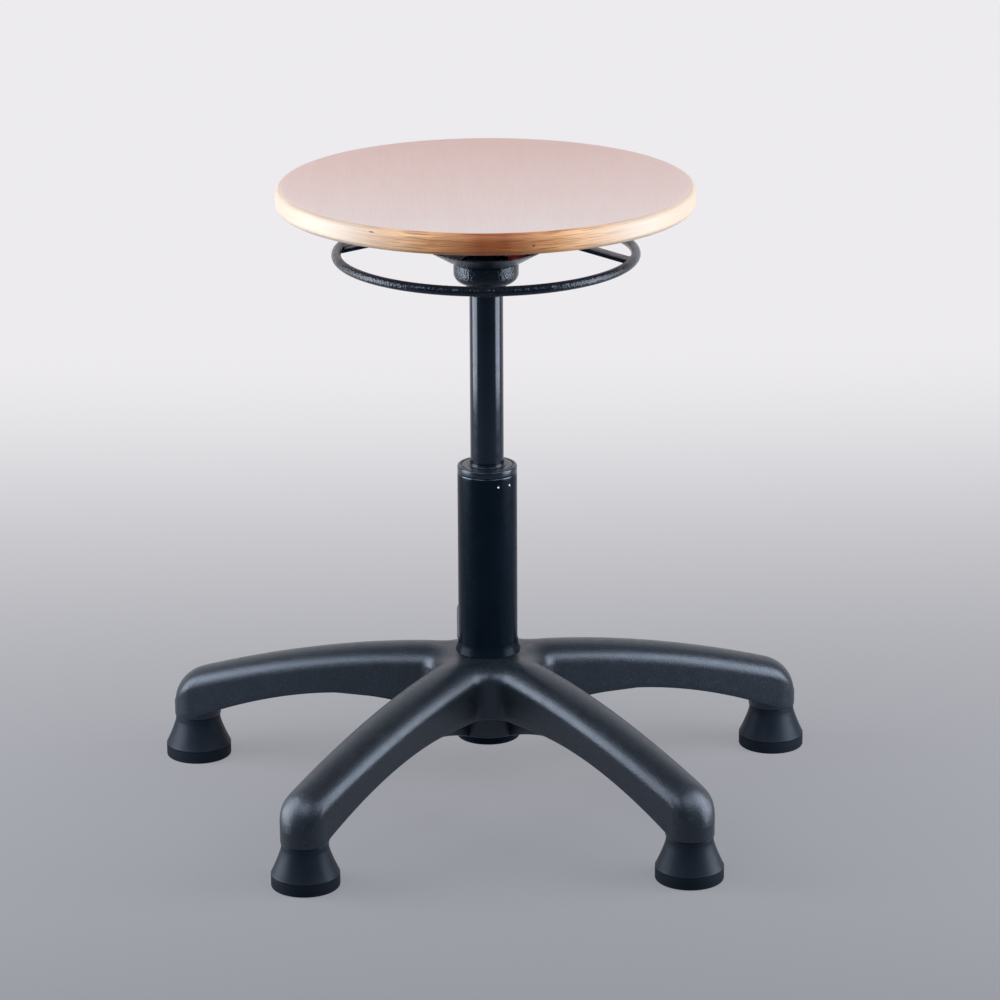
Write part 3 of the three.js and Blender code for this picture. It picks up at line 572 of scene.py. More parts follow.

# Clear satin lacquer over pale beech: a soft sheen that washes the top out where it is seen at a low angle, with a
# painted sheen that keeps the front paler than the back.
VENEER = LacqueredVeneer(
    "satin_lacquered_beech_veneer", Slot.PLYWOOD, "#d8c9c7", "#d5c3bf", 0.42, coat=0.25, coat_roughness=0.3,
    relief_height_mm=0.008,
)

# Lacquered ply edge: warm brown streaks at the front, fading to a painted highlight that pales the sides.
PLY_EDGE = PlyEdge(
    "lacquered_beech_ply_edge", Slot.PLYWOOD, "#b3662d", "#a25722", 0.5, coat=0.45, coat_roughness=0.46,
    coat_ior=1.6, relief_height_mm=0.006, cloud_mm=14.0,
    knots=(Knot((-94.7, -169.3, 523.1), 3.2, 0.65), Knot((31.7, -194.8, 516.8), 1.3, 1.0)),
)

# Black powder coat: near black with a blue cast, and highlights that break into grains.
POWDER_COAT = SpecklePowderCoat(
    "orange_peel_black_powder_coat", Slot.BLACK_COAT, "#07101a", "#0a141f", 0.14, specular=0.55,
    specular_tint=COOL_TINT, relief_mm=2.2, relief_height_mm=0.06,
)

# Stoved black enamel on drawn steel tube: smooth, with long clean highlights.
TUBE_ENAMEL = Finish(
    "stoved_black_tube_enamel", Slot.BLACK_COAT, "#07101a", "#09131e", 0.15, specular=0.62,
    specular_tint=COOL_TINT, relief_mm=3.0, relief_height_mm=0.004,
)

# Satin black enamel on the outer tube: darker and duller than the inner one.
STAND_ENAMEL = Finish(
    "satin_black_stand_enamel", Slot.BLACK_COAT, "#07101a", "#09131e", 0.28, specular=0.08,
    specular_tint=COOL_TINT, relief_mm=2.0, relief_height_mm=0.004,
)

# Rolled top edge of the outer tube: burnished where it was turned in, so it catches thin bright arcs.
ROLLED_EDGE = Finish(
    "burnished_black_rolled_edge", Slot.BLACK_COAT, "#07101a", "#09131e", 0.2, specular=0.9,
    specular_tint=COOL_TINT, relief_mm=2.0, relief_height_mm=0.004,
)

# Spark-textured black nylon: dark grey where light rakes it, with broad soft highlights.
NYLON = PebbledNylon(
    "spark_textured_black_nylon", Slot.BLACK_NYLON, "#0a1016", "#0e151c", 0.38, specular=0.82,
    specular_tint=COOL_TINT, relief_mm=1.1,
)

# Smooth-moulded nylon of the glides: darker than the base, with a faint sheen.
GLIDE_NYLON = Finish(
    "smooth_moulded_black_nylon", Slot.BLACK_NYLON, "#0b141e", "#0e1823", 0.46, specular=0.3,
    specular_tint=COOL_TINT, relief_mm=0.7, relief_height_mm=0.01,
)

# Black rubber of the pads and seals: matt, with hardly any highlight.
RUBBER = Finish(
    "moulded_black_rubber", Slot.DARK_RUBBER, "#09111a", "#0c151f", 0.7, specular=0.25,
    specular_tint=COOL_TINT, relief_mm=0.6, relief_height_mm=0.02,
)

# Wiper ring of polished rubber: oily smooth, so the tube's highlights run on down into it.
POLISHED_RUBBER = Finish(
    "polished_black_wiper_rubber", Slot.DARK_RUBBER, "#09111a", "#0c151f", 0.24, specular=0.6,
    specular_tint=COOL_TINT, relief_mm=1.0, relief_height_mm=0.004,
)

# Moulded acetal of the bushing, piston and rod guide: grey with a faint waxy sheen.
ACETAL = Finish(
    "moulded_grey_acetal", Slot.GREY_PLASTIC, "#0d1620", "#111b26", 0.24, specular=0.7,
    specular_tint=COOL_TINT, relief_mm=0.8, relief_height_mm=0.01,
)

# Moulded red nylon of the lift block: the one bright colour, half hidden in the dish.
RED_NYLON = Finish(
    "moulded_red_nylon", Slot.RED_PLASTIC, "#ff5a36", "#f9512e", 0.38, relief_mm=0.7, relief_height_mm=0.01
)

# Zinc-plated screws, inserts and stems: pale with a slightly cloudy shine.
ZINC = Finish(
    "clear_zinc_plated_steel", Slot.ZINC_STEEL, "#b9bcc0", "#a3a8ae", 0.34, metallic=1.0, cloud_mm=6.0,
    relief_mm=0.5, relief_height_mm=0.008,
)

# Ground bearing steel of the rod, pins, washers and balls: bright and smooth.
GROUND_STEEL = Finish(
    "ground_bearing_steel", Slot.BRIGHT_STEEL, "#cfd2d6", "#c2c6cb", 0.18, metallic=1.0, cloud_mm=12.0,
    relief_mm=0.4, relief_height_mm=0.002,
)


# Pieces


def closed_mesh(name: str, surface: Surface) -> bpy.types.Mesh:
    """Makes a mesh of a closed surface, with its seams and poles merged and its faces turned outwards.

    Args:
        name: The mesh's name.
        surface: The surface about the column, in millimetres.

    Returns:
        The mesh, in metres.
    """
    mesh = bpy.data.meshes.new(name)
    placed = (surface.points + COLUMN) * MM
    mesh.from_pydata(placed.tolist(), [], surface.faces.tolist())
    merged = bmesh.new()
    merged.from_mesh(mesh)
    bmesh.ops.remove_doubles(merged, verts=merged.verts, dist=SEAM_GAP)
    bmesh.ops.recalc_face_normals(merged, faces=merged.faces)
    merged.to_mesh(mesh)
    merged.free()
    return mesh


def place_piece(name: str, node: str, mesh: bpy.types.Mesh, body: Body, finish: Finish) -> bpy.types.Object:
    """Puts a mesh into the scene as a piece of the stool.

    Args:
        name: The piece's name.
        node: The CAD node it stands for.
        mesh: Its mesh, in metres.
        body: The CAD body it moves with.
        finish: What it is made of.

    Returns:
        The piece, whose object sits at the origin.
    """
    mesh.polygons.foreach_set("use_smooth", np.ones(len(mesh.polygons), bool))
    mesh.materials.clear()
    mesh.materials.append(finish.material())
    piece = bpy.data.objects.new(name, mesh)
    bpy.context.scene.collection.objects.link(piece)
    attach(piece, body.value)
    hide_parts(node)
    log.info("%s: %d faces on %s", name, len(mesh.polygons), body.value)
    return piece


def make_piece(
    name: str, node: str, surface: Surface, body: Body, finish: Finish, sharp_degrees: float = 38.0
) -> bpy.types.Object:
    """Makes a piece of a surface.

    Args:
        name: The piece's name.
        node: The CAD node it stands for.
        surface: Its surface about the column, in millimetres.
        body: The CAD body it moves with.
        finish: What it is made of.
        sharp_degrees: Angle from which an edge stays sharp.

    Returns:
        The piece.
    """
    piece = place_piece(name, node, closed_mesh(name, surface), body, finish)
    piece.data.set_sharp_from_angle(angle=math.radians(sharp_degrees))
    return piece


def face_centres(piece: bpy.types.Object) -> Array:
    """Returns the centres of a piece's faces about the column, in millimetres."""
    centres = np.empty(len(piece.data.polygons) * 3)
    piece.data.polygons.foreach_get("center", centres)
    return centres.reshape(-1, 3) / MM - COLUMN


def refinish(piece: bpy.types.Object, finish: Finish, chosen: NDArray[np.bool_]) -> None:
    """Gives some of a piece's faces another finish.

    Args:
        piece: The piece.
        finish: The finish for the chosen faces.
        chosen: Whether each face takes it.
    """
    slots = np.empty(len(piece.data.polygons), np.int32)
    piece.data.polygons.foreach_get("material_index", slots)
    slots[chosen] = len(piece.data.materials)
    piece.data.materials.append(finish.material())
    piece.data.polygons.foreach_set("material_index", slots)
    piece.data.update()


def dress(nodes: Sequence[str], finish: Finish) -> None:
    """Gives CAD nodes that stay in view their finish.

    Args:
        nodes: Names of the CAD nodes.
        finish: What they are made of.
    """
    for name in nodes:
        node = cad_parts[name]
        node.data.materials.clear()
        node.data.materials.append(finish.material())
        log.info("%s: CAD solid with %s", name, finish.name)


def carve(piece: bpy.types.Object, cutter: Surface) -> None:
    """Cuts closed shapes out of a piece and keeps the result as its mesh.

    Args:
        piece: The piece that is cut.
        cutter: The shapes cut away, about the column, in millimetres.
    """
    mesh = closed_mesh("cutter", cutter)
    tool = bpy.data.objects.new("cutter", mesh)
    bpy.context.scene.collection.objects.link(tool)
    modifier = piece.modifiers.new("cut", "BOOLEAN")
    modifier.operation = "DIFFERENCE"
    modifier.solver = "EXACT"
    modifier.object = tool
    graph = bpy.context.evaluated_depsgraph_get()
    result = bpy.data.meshes.new_from_object(piece.evaluated_get(graph))
    piece.modifiers.clear()
    piece.data = result
    bpy.data.objects.remove(tool)
    bpy.data.meshes.remove(mesh)


def bevelled_copy(name: str, node: str, width: float, body: Body, finish: Finish) -> None:
    """Makes a piece from a CAD solid with its sharp edges rounded.

    Args:
        name: The piece's name.
        node: The CAD node, which the piece then stands for.
        width: Width of the rounding.
        body: The CAD body it moves with.
        finish: What it is made of.
    """
    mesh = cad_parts[node].data.copy()
    mesh.name = name
    merged = bmesh.new()
    merged.from_mesh(mesh)
    bmesh.ops.remove_doubles(merged, verts=merged.verts, dist=NODE_GAP)
    bmesh.ops.dissolve_limit(merged, angle_limit=math.radians(1), verts=merged.verts, edges=merged.edges)
    merged.to_mesh(mesh)
    merged.free()
    piece = place_piece(name, node, mesh, body, finish)
    bevel = piece.modifiers.new("edges", "BEVEL")
    bevel.width = width * MM
    bevel.segments = 3
    bevel.limit_method = "ANGLE"
    bevel.angle_limit = math.radians(30)
    bevel.harden_normals = True


# Sub-assemblies


@dataclass(frozen=True)
class Seat:
    """Round plywood board on its steel plate, with four screws and the channel of the valve lever."""

    radius: float = 172.5
    top: float = 527.0
    thickness: float = 18.0
    top_rounding: float = 6.5
    bottom_rounding: float = 5.0
    edge_slope: float = 0.93
    plate_half: float = 62.0
    plate_corner: float = 12.0
    plate_top: float = 508.7
    plate_thickness: float = 3.0
    plate_hole: float = 17.0
    plate_edge: float = 0.7
    screw_spacing: float = 96.0
    screw_hole: float = 5.1
    screw_hole_depth: float = 13.6
    screw_radius: float = 3.0
    screw_head: float = 5.5
    screw_head_height: float = 3.5
    screw_top: float = 518.0
    hexagon: float = 2.3
    hexagon_depth: float = 2.0
    flat_share: float = 0.9
    screw_gap: float = 0.3
    dome_start: float = 1.4
    dome_rounding: float = 1.6
    head_rounding: float = 0.2

    def board(self) -> Surface:
        """Returns the board: a flat disc with a wider rounding above than below."""
        bottom = self.top - self.thickness
        flat = self.radius * self.flat_share
        steps = 10
        corners = [
            (0.0, bottom, 0.0), (self.radius, bottom, self.bottom_rounding),
            (self.radius, self.top, self.top_rounding), (0.0, self.top, 0.0),
        ]
        rim = rounded(corners, steps)[steps + 1 : -steps - 1]
        under, over = [[0.0, bottom], [flat, bottom]], [[flat, self.top], [0.0, self.top]]
        return turned(np.concatenate([under, rim, over]), circle(256))

    def screw_places(self) -> list[tuple[float, float]]:
        """Returns the four screw places as (x, y)."""
        half = self.screw_spacing / 2
        return [(half, half), (-half, half), (-half, -half), (half, -half)]

    def screw_holes(self) -> Surface:
        """Returns the blind holes for the threaded inserts."""
        bottom = self.top - self.thickness
        depth = bottom + self.screw_hole_depth
        profile = np.array([[0, bottom - 1], [self.screw_hole, bottom - 1], [self.screw_hole, depth], [0, depth]])
        hole = turned(profile, circle(32))
        return joined([hole.moved(x, y) for x, y in self.screw_places()])

    def plate(self) -> Surface:
        """Returns the plate.

        Its radius runs from the round hole to a square with rounded corners. At angle a from the nearest corner the
        square's radius is h / cos(a) on the flat, and on the corner's arc the root of the circle's equation.
        """
        angles = circle(288)
        folded = np.abs((angles + math.pi / 4) % (math.pi / 2) - math.pi / 4)
        flat = self.plate_half / np.cos(folded)
        inset = self.plate_half - self.plate_corner
        both = np.cos(folded) + np.sin(folded)
        root = self.plate_corner**2 - inset**2 * (1 - np.sin(2 * folded))
        arc = inset * both + np.sqrt(np.maximum(root, 0))
        square = np.where(self.plate_half * np.tan(folded) <= inset, flat, arc)
        bottom, edge = self.plate_top - self.plate_thickness, self.plate_edge
        share = np.array([0.0, 1.0, 1.0, 1.0, 1.0, 0.0])
        inward = np.array([0.0, edge, 0.0, 0.0, edge, 0.0])
        height = np.array([bottom, bottom, bottom + edge, self.plate_top - edge, self.plate_top, self.plate_top])
        radii = self.plate_hole + (square - self.plate_hole) * share[:, None] - inward[:, None]
        return turned(np.stack([radii[:, 0], height], axis=1), angles, radii)

    def screw(self) -> Surface:
        """Returns a screw: threaded shank, domed head and a hexagon socket whose radius is h / cos(a)."""
        angles = circle(48)
        head_top = self.plate_top - self.plate_thickness - self.screw_gap
        low = head_top - self.screw_head_height
        floor = low + self.hexagon_depth
        dome = rounded(
            [
                (self.hexagon * self.dome_start, low, 0), (self.screw_head, low, self.dome_rounding),
                (self.screw_head, head_top, self.head_rounding),
            ],
            6, False,
        )
        shank = np.array([[self.screw_radius, head_top], [self.screw_radius, self.screw_top], [0, self.screw_top]])
        socket = np.array([[0, floor], [self.hexagon, floor], [self.hexagon, low]])
        folded = np.abs((angles + math.pi / 6) % (math.pi / 3) - math.pi / 6)
        profile = np.concatenate([socket, dome, shank])
        radii = profile[:, :1] * np.ones_like(angles)
        radii[1:3] = self.hexagon / np.cos(folded)
        return turned(profile, angles, radii)

    def build(self) -> None:
        """Builds and dresses the seat's pieces."""
        board = make_piece("seat_board_turned", "seat_board", self.board(), Body.SEAT, VENEER, 50)
        carve(board, self.screw_holes())
        normals = np.empty(len(board.data.polygons) * 3)
        board.data.polygons.foreach_get("normal", normals)
        upright = np.abs(normals.reshape(-1, 3)[:, 2]) < self.edge_slope
        outer = np.hypot(*face_centres(board)[:, :2].T) > self.radius - 2 * self.top_rounding
        refinish(board, PLY_EDGE, upright & outer)
        make_piece("seat_plate_pressed", "seat_plate", self.plate(), Body.SEAT, POWDER_COAT)
        for number, (x, y) in enumerate(self.screw_places(), 1):
            screw = self.screw().moved(x, y)
            make_piece(f"seat_screw_hex_{number}", f"seat_screw_{number}", screw, Body.SEAT, ZINC)
            dress([f"seat_insert_{number}"], ZINC)
        bevelled_copy("lever_channel_folded", "lever_channel", 0.8, Body.SEAT, POWDER_COAT)
        bevelled_copy("valve_lever_pressed", "valve_lever", 0.4, Body.LEVER, ZINC)
        dress(["lever_pin"], GROUND_STEEL)


@dataclass(frozen=True)
class SeatHub:
    """Taper socket and cup under the seat, which carry the release dish."""

    socket_bottom: float = 434.0
    socket_top: float = 488.0
    socket_radius: float = 15.8
    collar_radius: float = 16.6
    collar_top: float = 443.4
    bore_bottom: float = 14.3
    bore_top: float = 13.2
    taper_start: float = 440.0
    tube_top: float = 486.0
    cup_radius: float = 27.0
    cup_wall: float = 2.0
    cup_top: float = 460.7
    cup_straight: float = 8.5
    cup_bottom: float = 443.7
    cup_foot: float = 19.0
    cup_hole: float = 16.1

    def socket(self) -> Surface:
        """Returns the socket: a sleeve with a slightly wider collar and a tapered bore."""
        corners = [
            (self.bore_bottom, self.socket_bottom, 0.3), (self.collar_radius, self.socket_bottom, 0.8),
            (self.collar_radius, self.collar_top, 0.3), (self.socket_radius, self.collar_top, 0),
            (self.socket_radius, self.socket_top, 0.5), (self.bore_top, self.socket_top, 0.3),
            (self.bore_top, self.tube_top, 0), (self.bore_bottom, self.taper_start, 0),
        ]
        return turned(rounded(corners))

    def bowl(self, inset: float) -> Array:
        """Returns a quarter ellipse from the cup's foot up to its straight part, inset from the outside."""
        shoulder = self.cup_top - self.cup_straight
        share = np.linspace(-math.pi / 2, 0, 25)
        reach, depth = self.cup_radius - inset - self.cup_foot, shoulder - self.cup_bottom - inset
        return np.stack([self.cup_foot + reach * np.cos(share), shoulder + depth * np.sin(share)], axis=1)

    def cup(self) -> Surface:
        """Returns the cup: bowls inside and out, from its flat foot to its straight brim."""
        shoulder, wall = self.cup_top - self.cup_straight, self.cup_wall
        corners = [
            (self.cup_radius, shoulder, 0), (self.cup_radius, self.cup_top, 0.7),
            (self.cup_radius - wall, self.cup_top, 0.7), (self.cup_radius - wall, shoulder, 0),
        ]
        foot, back = [[self.cup_hole, self.cup_bottom]], [[self.cup_hole, self.cup_bottom + wall]]
        brim = rounded(corners, 4, False)
        return turned(np.concatenate([foot, self.bowl(0.0), brim, self.bowl(wall)[::-1], back]))

    def build(self) -> None:
        """Builds the hub's pieces."""
        make_piece("taper_socket_turned", "taper_socket", self.socket(), Body.SEAT, POWDER_COAT)
        make_piece("hub_cup_pressed", "hub_cup", self.cup(), Body.SEAT, POWDER_COAT)


@dataclass(frozen=True)
class ReleaseRing:
    """Wire ring on two flat arms that stand in a pressed dish; lifting it anywhere works the valve."""

    ring_radius: float = 123.3
    rod_radius: float = 4.0
    ring_z: float = 468.0
    arm_turn: float = -12.1
    arm_width: float = 14.8
    arm_thickness: float = 3.2
    arm_start: float = 33.6
    arm_crest: float = 66.0
    arm_crest_rise: float = 13.6
    arm_end_drop: float = 1.6
    arm_overlap: float = 1.6
    bead_radius: float = 1.7
    dish_hole: float = 19.5
    dish_floor_radius: float = 28.6
    dish_rim: float = 49.0
    dish_floor: float = 461.0
    dish_rise: float = 11.9
    dish_sheet: float = 1.6
    arm_gap: float = 0.3
    bead_inset: float = 0.8
    bead_length: float = 0.42
    bead_lift: float = 0.2
    bead_height: float = 0.8

    @property
    def slope(self) -> float:
        """The rise of the dish's wall over its run."""
        return self.dish_rise / (self.dish_rim - self.dish_floor_radius)

    @property
    def slant(self) -> float:
        """The sheet's thickness measured upright through the dish's wall."""
        return self.dish_sheet * math.hypot(1, self.slope)

    def ring(self) -> Surface:
        """Returns the ring: a circle of rod carried round the column."""
        around = circle(28)
        out, up = self.rod_radius * np.cos(around), self.rod_radius * np.sin(around)
        return turned(np.stack([self.ring_radius + out, self.ring_z + up], axis=1), circle(224))

    def dish(self) -> Surface:
        """Returns the dish: flat floor and conical wall of one sheet, with rounded bends and rim."""
        inset = self.slant - self.dish_sheet
        top, floor = self.dish_floor + self.dish_rise, self.dish_floor + self.dish_sheet
        corners = [
            (self.dish_hole, self.dish_floor, 0.4), (self.dish_floor_radius, self.dish_floor, 3.0),
            (self.dish_rim, top, 0.6), (self.dish_rim - inset, top + self.dish_sheet, 0.6),
            (self.dish_floor_radius - inset / self.slope, floor, 1.6), (self.dish_hole, floor, 0.4),
        ]
        return turned(rounded(corners), circle(160))

    def resting(self, reach: float) -> float:
        """Returns the height of an arm's middle line where its edges just clear the dish's wall."""
        edge = math.hypot(reach, self.arm_width / 2)
        wall = (edge - self.dish_floor_radius) * self.slope
        return self.dish_floor + self.slant + self.arm_gap + wall + self.arm_thickness / 2

    def arm(self) -> Surface:
        """Returns one arm: a flat bar that lies in the dish, climbs over its rim and falls to the ring."""
        over_rim = self.dish_rim + self.arm_thickness
        crest = (self.arm_crest, self.ring_z + self.arm_crest_rise - self.arm_thickness / 2)
        tip = (self.ring_radius - self.rod_radius, self.ring_z - self.arm_end_drop)
        fall = (tip[1] - crest[1]) / (tip[0] - crest[0])
        corners = [
            (self.arm_start, self.resting(self.arm_start), 0), (over_rim, self.resting(over_rim), 14.0),
            (*crest, 14.0), (tip[0] + self.arm_overlap, tip[1] + fall * self.arm_overlap, 0),
        ]
        line = rounded(corners, 8, False)
        keep = np.concatenate([[True], np.linalg.norm(np.diff(line, axis=0), axis=1) > 1e-6])
        return strip(line[keep], self.arm_thickness, self.arm_width, 0.7)

    def bead(self) -> Surface:
        """Returns the weld bead where an arm meets the ring: an egg drawn out along y."""
        around, down = np.meshgrid(circle(24), np.linspace(0.02, math.pi - 0.02, 14))
        size = self.bead_radius
        x = self.ring_radius - self.rod_radius * self.bead_inset + size * np.sin(down) * np.cos(around)
        y = self.arm_width * self.bead_length * np.cos(down)
        rise = size * self.bead_height * np.sin(down) * np.sin(around)
        z = self.ring_z + self.rod_radius * self.bead_lift + rise
        return grid(np.stack([x, y, z], axis=-1), closed_columns=True)

    def build(self) -> None:
        """Builds the pieces that lift with the ring."""
        arm = joined([self.arm(), self.bead()])
        make_piece("release_ring_rod", "release_ring", self.ring(), Body.RING, POWDER_COAT)
        make_piece("release_dish_pressed", "release_dish", self.dish(), Body.RING, POWDER_COAT)
        for side, turn in (("right", self.arm_turn), ("left", self.arm_turn + 180)):
            make_piece(f"ring_arm_flat_{side}", f"ring_arm_{side}", arm.turned(turn), Body.RING, POWDER_COAT)
        bevelled_copy("lift_block_moulded", "lift_block", 0.6, Body.RING, RED_NYLON)


@dataclass(frozen=True)
class GasLift:
    """Gas spring: the pressure tube slides in a bushing at the top of the stand tube."""

    tube_radius: float = 14.0
    tube_wall: float = 1.5
    tube_bottom: float = 212.0
    tube_top: float = 486.0
    taper_start: float = 440.0
    taper_radius: float = 12.9
    stand_radius: float = 25.0
    stand_wall: float = 2.0
    stand_bottom: float = 47.8
    stand_top: float = 280.3
    stand_floor: float = 3.0
    stand_hole: float = 4.3
    stand_edge: float = 1.2
    dimple_z: float = 273.2
    dimple_degrees: tuple[float, float] = (-69.4, -43.0)
    dimple_radius: float = 1.1
    dimple_depth: float = 0.9
    bushing_bottom: float = 157.3
    bushing_top: float = 286.3
    bushing_bore: float = 14.3
    bushing_liner: float = 17.3
    bushing_head_bottom: float = 271.3
    bushing_flange: float = 8.0
    collar_rounding: float = 1.3
    groove_outer: float = 22.3
    groove_inner: float = 21.3
    groove_depth: float = 1.2
    wiper_outer: float = 15.8
    wiper_height: float = 3.0
    wiper_foot: float = 0.5
    wiper_lip: float = 0.3
    tube_edge: float = 0.6
    taper_bend: float = 12.0
    stand_foot_edge: float = 0.8
    stand_inner_edge: float = 0.3
    dimple_span: float = 2.6
    dimple_rows: int = 27
    dimple_share: float = 0.75
    columns: int = 144
    outside_margin: float = 0.1
    bushing_play: float = 0.3
    flanges: int = 3
    flange_rounding: float = 0.6
    collar_gap: float = 0.3
    recess_width: float = 1.8
    recess_depth: float = 0.6
    wiper_depth: float = 0.3
    wiper_curve: float = 1.1

    def pressure_tube(self) -> Surface:
        """Returns the pressure tube with its tapered top."""
        bore, taper_bore = self.tube_radius - self.tube_wall, self.taper_radius - self.tube_wall
        corners = [
            (bore, self.tube_bottom, 0.2), (self.tube_radius, self.tube_bottom, self.tube_edge),
            (self.tube_radius, self.taper_start, self.taper_bend),
            (self.taper_radius, self.tube_top, self.tube_edge),
            (taper_bore, self.tube_top, 0.2), (bore, self.taper_start, 0),
        ]
        return turned(rounded(corners))

    def stand_tube(self) -> Surface:
        """Returns the stand tube with two punched dimples.

        A dimple pulls the outer wall in by its depth times exp(-(d / radius) squared), with d the distance along the
        wall from its middle. Angles and heights stand closer together round the dimples.
        """
        fine = np.linspace(-self.dimple_span, self.dimple_span, self.dimple_rows) * self.dimple_radius
        near = np.concatenate([math.radians(place) + fine / self.stand_radius for place in self.dimple_degrees])
        coarse = circle(self.columns) - math.pi
        free = np.abs(coarse[:, None] - np.radians(self.dimple_degrees)).min(axis=1) > fine[-1] / self.stand_radius
        angles = np.sort(np.concatenate([near, coarse[free]]))
        heights = self.dimple_z + fine
        bore, floor = self.stand_radius - self.stand_wall, self.stand_bottom + self.stand_floor
        below = [
            (self.stand_hole, self.stand_bottom, 0), (self.stand_radius, self.stand_bottom, self.stand_foot_edge),
            (self.stand_radius, heights[0], 0),
        ]
        above = [
            (self.stand_radius, heights[-1], 0), (self.stand_radius, self.stand_top, self.stand_edge),
            (bore, self.stand_top, self.stand_inner_edge), (bore, floor, 0), (self.stand_hole, floor, 0),
        ]
        wall = np.stack([np.full_like(heights, self.stand_radius), heights], axis=1)
        profile = np.concatenate([rounded(below, 4, False), wall, rounded(above, 5, False)])
        apart = np.abs(angles - np.radians(self.dimple_degrees)[:, None, None]) * self.stand_radius
        distance = np.hypot(apart, (profile[:, 1] - self.dimple_z)[None, :, None])
        spread = self.dimple_radius * self.dimple_share
        pull = self.dimple_depth * np.exp(-((distance / spread) ** 2)).sum(axis=0)
        outside = profile[:, :1] > self.stand_radius - self.outside_margin
        return turned(profile, angles, profile[:, :1] - pull * outside)

    def bushing(self) -> Surface:
        """Returns the bushing: liner, three bearing flanges, and a collar with a groove in its top."""
        liner, bore, edge = self.bushing_liner, self.bushing_bore, self.flange_rounding
        outer = self.stand_radius - self.stand_wall - self.bushing_play
        pitch = (self.bushing_head_bottom - self.bushing_bottom - self.bushing_flange) / self.flanges
        corners: list[Corner] = [(bore, self.bushing_bottom, 0.3)]
        for number in range(self.flanges):
            low = self.bushing_bottom + number * pitch
            high = low + self.bushing_flange
            corners += [(outer, low, edge), (outer, high, edge), (liner, high, edge)]
            corners += [(liner, low + pitch, edge)] if number < self.flanges - 1 else []
        seat, top = self.stand_top + self.collar_gap, self.bushing_top
        floor, recess = top - self.groove_depth, top - self.recess_depth
        corners += [
            (liner, self.bushing_head_bottom, edge), (outer, self.bushing_head_bottom, edge), (outer, seat, 0),
            (self.stand_radius, seat, 0.3), (self.stand_radius, top, self.collar_rounding),
            (self.groove_outer, top, 0.1), (self.groove_outer, floor, 0), (self.groove_inner, floor, 0),
            (self.groove_inner, top, 0.2), (bore + self.recess_width, top, 0.1),
            (bore + self.recess_width, recess, 0), (bore, recess, 0),
        ]
        return turned(rounded(corners, 5))

    def wiper(self) -> Surface:
        """Returns the wiper ring, whose lip flares out from the tube in a hollow curve."""
        low, lip = self.bushing_top - self.wiper_depth, self.bushing_bore + self.wiper_lip
        foot, top = low + self.wiper_foot, low + self.wiper_height
        corners = [
            (self.bushing_bore, low, 0), (self.wiper_outer, low, 0.1), (self.wiper_outer, foot, 0.1),
            (lip, foot, self.wiper_curve), (lip, top, 0.1), (self.bushing_bore, top, 0.1),
        ]
        return turned(rounded(corners))

    def build(self) -> None:
        """Builds the lift's outer pieces and dresses its inner ones."""
        make_piece("pressure_tube_drawn", "pressure_tube", self.pressure_tube(), Body.SEAT, TUBE_ENAMEL)
        stand = make_piece("stand_tube_drawn", "stand_tube", self.stand_tube(), Body.BASE, STAND_ENAMEL)
        centres = face_centres(stand)
        refinish(stand, ROLLED_EDGE, centres[:, 2] > self.stand_top - self.stand_edge)
        # Bright zinc on the dimples' faces stands in for the glints on their bevels: a painted highlight.
        for degrees in self.dimple_degrees:
            angle = math.radians(degrees)
            middle = np.array([math.cos(angle), math.sin(angle), self.dimple_z / self.stand_radius])
            apart = np.linalg.norm(centres - middle * self.stand_radius, axis=1)
            refinish(stand, ZINC, apart < self.dimple_radius)
        make_piece("guide_bushing_moulded", "guide_bushing", self.bushing(), Body.BASE, ACETAL)
        make_piece("wiper_ring_moulded", "wiper_ring", self.wiper(), Body.BASE, POLISHED_RUBBER)
        dress(["rod_guide", "piston"], ACETAL)
        dress(["rod_seal", "piston_ring", "rubber_buffer"], RUBBER)
        dress(["valve_housing", "valve_pin", "piston_rod", "lower_washer", "ball_cage", "upper_washer"], GROUND_STEEL)
        dress(["retaining_clip"], GROUND_STEEL)


def eased(rows: int) -> Array:
    """Returns shares from 0 to 1 that start slowly, one for each row of points."""
    return (1 - np.cos(np.linspace(0, math.pi / 2, rows)))[:, None, None]


def lifted(plan: Array, height: Array) -> Array:
    """Returns points of a plan at their heights."""
    return np.concatenate([plan, height[..., None]], axis=-1)


@dataclass(frozen=True)
class ArmPlan:
    """Plan of half an arm: its outline, the inward normals there, and the spine that its grid lines run to."""

    outline: Array
    normal: Array
    spine: Array
    bore_count: int
    centre: Array
    fillet: float


